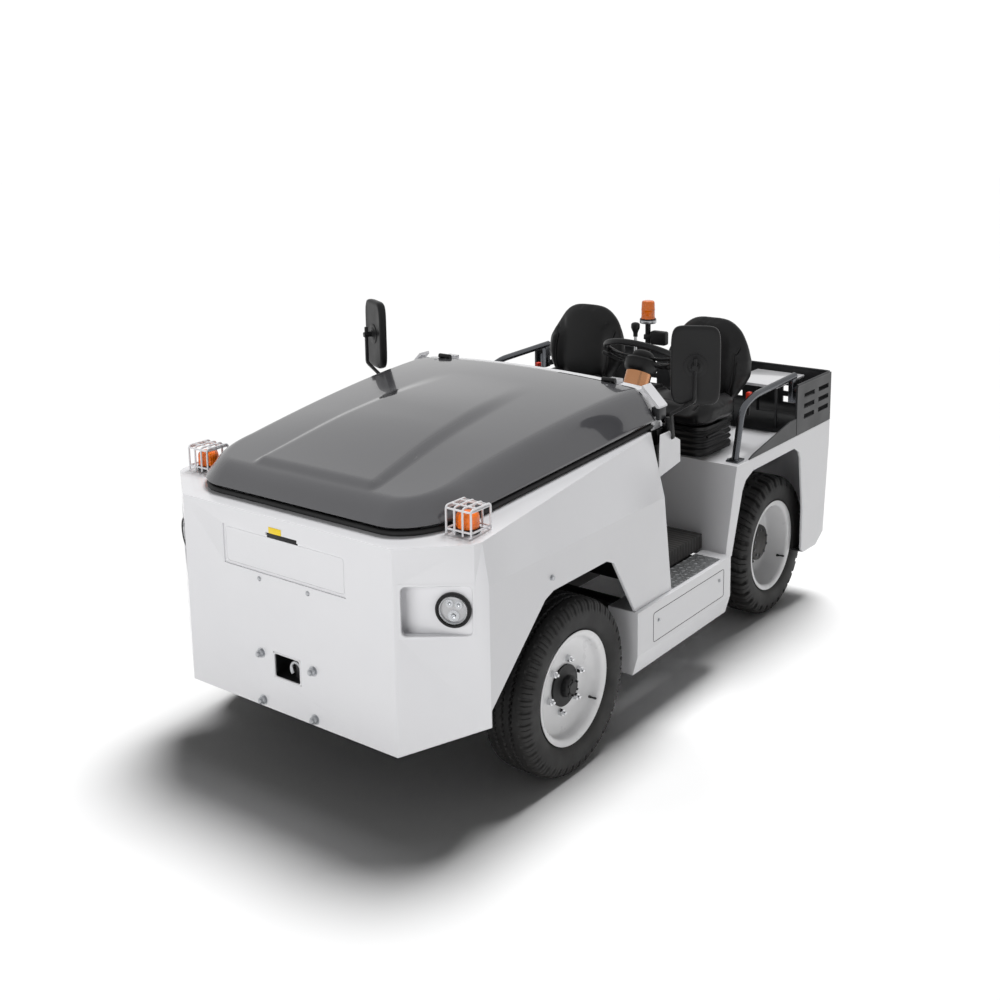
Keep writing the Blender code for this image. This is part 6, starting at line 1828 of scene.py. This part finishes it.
    def build(self) -> None:
        """Make everything of the driving place apart from seats and steering."""
        self.dash()
        self.pedals()
        self.parking_lever()
        self.step_plates()
        self.cowl_plates()
        refined("floor", FLOOR_MAT, 3.0 * MM)
        refined("firewall", CHASSIS_BLACK, 2.0 * MM)


# --------------------------------------------------------------------------------------- the rear end
@dataclass
class Rear:
    """Tray, handrails, beacon, tail lamps, trims and the towing jaw."""

    deck: float = 0.850
    half: float = 0.746
    tray: tuple[float, float] = (1.000, 1.380)
    tray_top: float = 1.085
    beacon: tuple[float, float] = (0.034, 0.850)
    lens: tuple[float, float] = (1.358, 1.445)

    def beacon_lamp(self) -> None:
        """Make the fluted beacon lens on its seat, the post with a bright band, and the box beside it."""
        x, y = self.beacon
        z0, z1 = self.lens
        tall = z1 - z0
        rows = np.array([(0.0, 0.0), (0.033, 0.0), (0.033, 0.006), (0.0315, 0.010), (0.0315, 0.040),
                         (0.0325, 0.042), (0.0325, 0.046), (0.0315, 0.048), (0.0305, tall - 0.010),
                         (0.027, tall - 0.002), (0.018, tall), (0.0, tall)])
        Pile().grid(fluted(rows, np.array([x, y, z0]), 144, 28, 0.016)).build(
            "beacon_lens_moulding", AMBER_LENS, "tug", ("beacon_lens",))
        refined("beacon_post", BLACK_ABS, 1.0 * MM)
        Pile().turned([(0.0395, 0.0), (0.0405, 0.002), (0.0405, 0.012), (0.0395, 0.014), (0.0385, 0.014),
                       (0.0385, 0.0)], (x, y, z0 - 0.020), (0, 0, 1), 64, True).build(
            "beacon_band", ZINC, "tug")
        box = Pile().block((x + 0.022, y - 0.022, 1.236), (x + 0.104, y + 0.022, 1.302), 0.010, 4)
        box.block((x - 0.016, y - 0.016, 1.256), (x + 0.024, y + 0.016, 1.282), 0.004)
        box.build("sounder_box", BLACK_ABS, "tug")

    def trims(self) -> None:
        """Make the charcoal side boards on the deck, the tray's rolled rim and its white lid."""
        for side, sign in SIDES:
            outline = np.array([(0.520, self.deck + 0.0004), (0.996, self.deck + 0.0004), (0.996, 0.932),
                                (0.930, 0.932), (0.560, 0.866)])
            Pile().grid(plate(outline, sign * 0.7455, sign * 0.7385)).build(
                "deck_side_board_" + side, CHARCOAL_POWDER, "tug", sharp=20.0)
        y0, y1 = self.tray
        h, top = self.half - 0.005, self.tray_top + 0.0005
        path = rounded_path([(-h, y0 + 0.003, top), (-h, y1 - 0.005, top), (h, y1 - 0.005, top),
                             (h, y0 + 0.003, top)], 0.014, 120)
        Pile().tube(path, 0.0068, 12).build("tray_rolled_rim", CHARCOAL_POWDER, "tug")
        Pile().block((0.380, 1.030, 1.052), (0.630, 1.330, 1.066), 0.004, 3).build(
            "tray_lid", WHITE_ENAMEL, "tug")
        legs = Pile()
        for x in (0.392, 0.618):
            for y in (1.044, 1.316):
                legs.tube(np.linspace((x, y, self.deck + 0.009), (x, y, 1.054), 6), 0.007, 12)
        legs.build("tray_lid_legs", CHARCOAL_POWDER, "tug")
        refined("rear_tray", CHARCOAL_POWDER, 0.0, flat=False)

    def handrails(self) -> None:
        """Bend each handrail as one tube, on a bolted foot plate, with a lug to the tray."""
        for side, sign in SIDES:
            x = sign * 0.700
            path = rounded_path([(x, 0.475, 0.8568), (x, 0.530, 1.073), (x, 0.640, 1.108),
                                 (x, 1.060, 1.120)], 0.050, 110)
            pile = Pile().tube(path, 0.0155, 28)
            pile.block((x - 0.028, 0.440, self.deck + 0.0003), (x + 0.028, 0.510, self.deck + 0.008), 0.002)
            pile.block((x - 0.012, 1.020, 1.000), (x + 0.012, 1.060, 1.118), 0.002)
            inner, outer = x + sign * 0.010, sign * 0.7355
            pile.block((min(inner, outer), 1.020, 1.000), (max(inner, outer), 1.060, 1.070), 0.002)
            for shift in (-0.019, 0.019):
                pile.grid(hex_head((x + shift, 0.450, self.deck + 0.008), (0, 0, 1), 0.011, 0.005))
            pile.build("handrail_tube_" + side, RAIL_STEEL, "tug", ("handrail_" + side,))

    def tail(self) -> None:
        """Make the tail lamps, their black frames, the jaw and its bolts."""
        frames, lamps, bolts = Pile(), Pile(), Pile()
        y = self.tray[1]
        for _, sign in SIDES:
            x = sign * 0.640
            frames.block((x - 0.062, y - 0.002, 0.742), (x + 0.062, y + 0.012, 0.822), 0.005, 3)
            lamps.block((x - 0.054, y + 0.008, 0.748), (x + 0.054, y + 0.020, 0.816), 0.005, 3)
            for z in (0.360, 0.520):
                slope = 1.340 + (z - 0.290) / 0.450 * 0.040
                bolts.grid(hex_head((sign * 0.070, slope + 0.021, z), (0, 1, 0), 0.020, 0.010))
        frames.build("tail_lamp_frames", BLACK_ABS, "tug")
        lamps.build("tail_lamp_lenses", RED_LENS, "tug")
        bolts.build("coupler_bolts", ZINC, "tug")
        refined("rear_coupler", FORGED, 2.0 * MM)
        refined("front_hitch", FORGED, 2.0 * MM)

    def build(self) -> None:
        """Make the rear end."""
        self.beacon_lamp()
        self.trims()
        self.tail()
        self.handrails()


def underside() -> None:
    """Finish the running gear and the battery, which show below the body and through the arches."""
    for node in ("chassis", "front_axle", "rear_axle", "knuckle_left", "knuckle_right"):
        refined(node, CHASSIS_BLACK, 2.5 * MM)
    refined("battery", CELL_CASE, 4.0 * MM)


def main() -> None:
    """Build every sub-assembly in order and report each piece."""
    logging.basicConfig(level=logging.INFO, format="%(name)s: %(message)s")
    Studio().build()
    Hood().build()
    for side, sign in SIDES:
        Wheel("front_" + side, 0.668, -0.850, sign, Tread.RIB, 0.030, 0.040, 6, 0.098).build()
        Wheel("rear_" + side, 0.592, 0.915, sign, Tread.LUG, -0.050, 0.085, 8, 0.112).build()
    Mirror("left", 1.0, (0.830, -0.130, 1.400)).build()
    Mirror("right", -1.0, (0.830, -0.130, 1.352)).build()
    Nose().build()
    Seat("left", 0.385).build()
    Seat("right", -0.290).build()
    SteeringGear().build()
    Cabin().build()
    Rear().build()
    for node in ("front_body", "rear_body", "cowl", "step_left", "step_right"):
        refined(node, WHITE_ENAMEL, 3.0 * MM)
    underside()


if __name__ == "__main__":
    main()
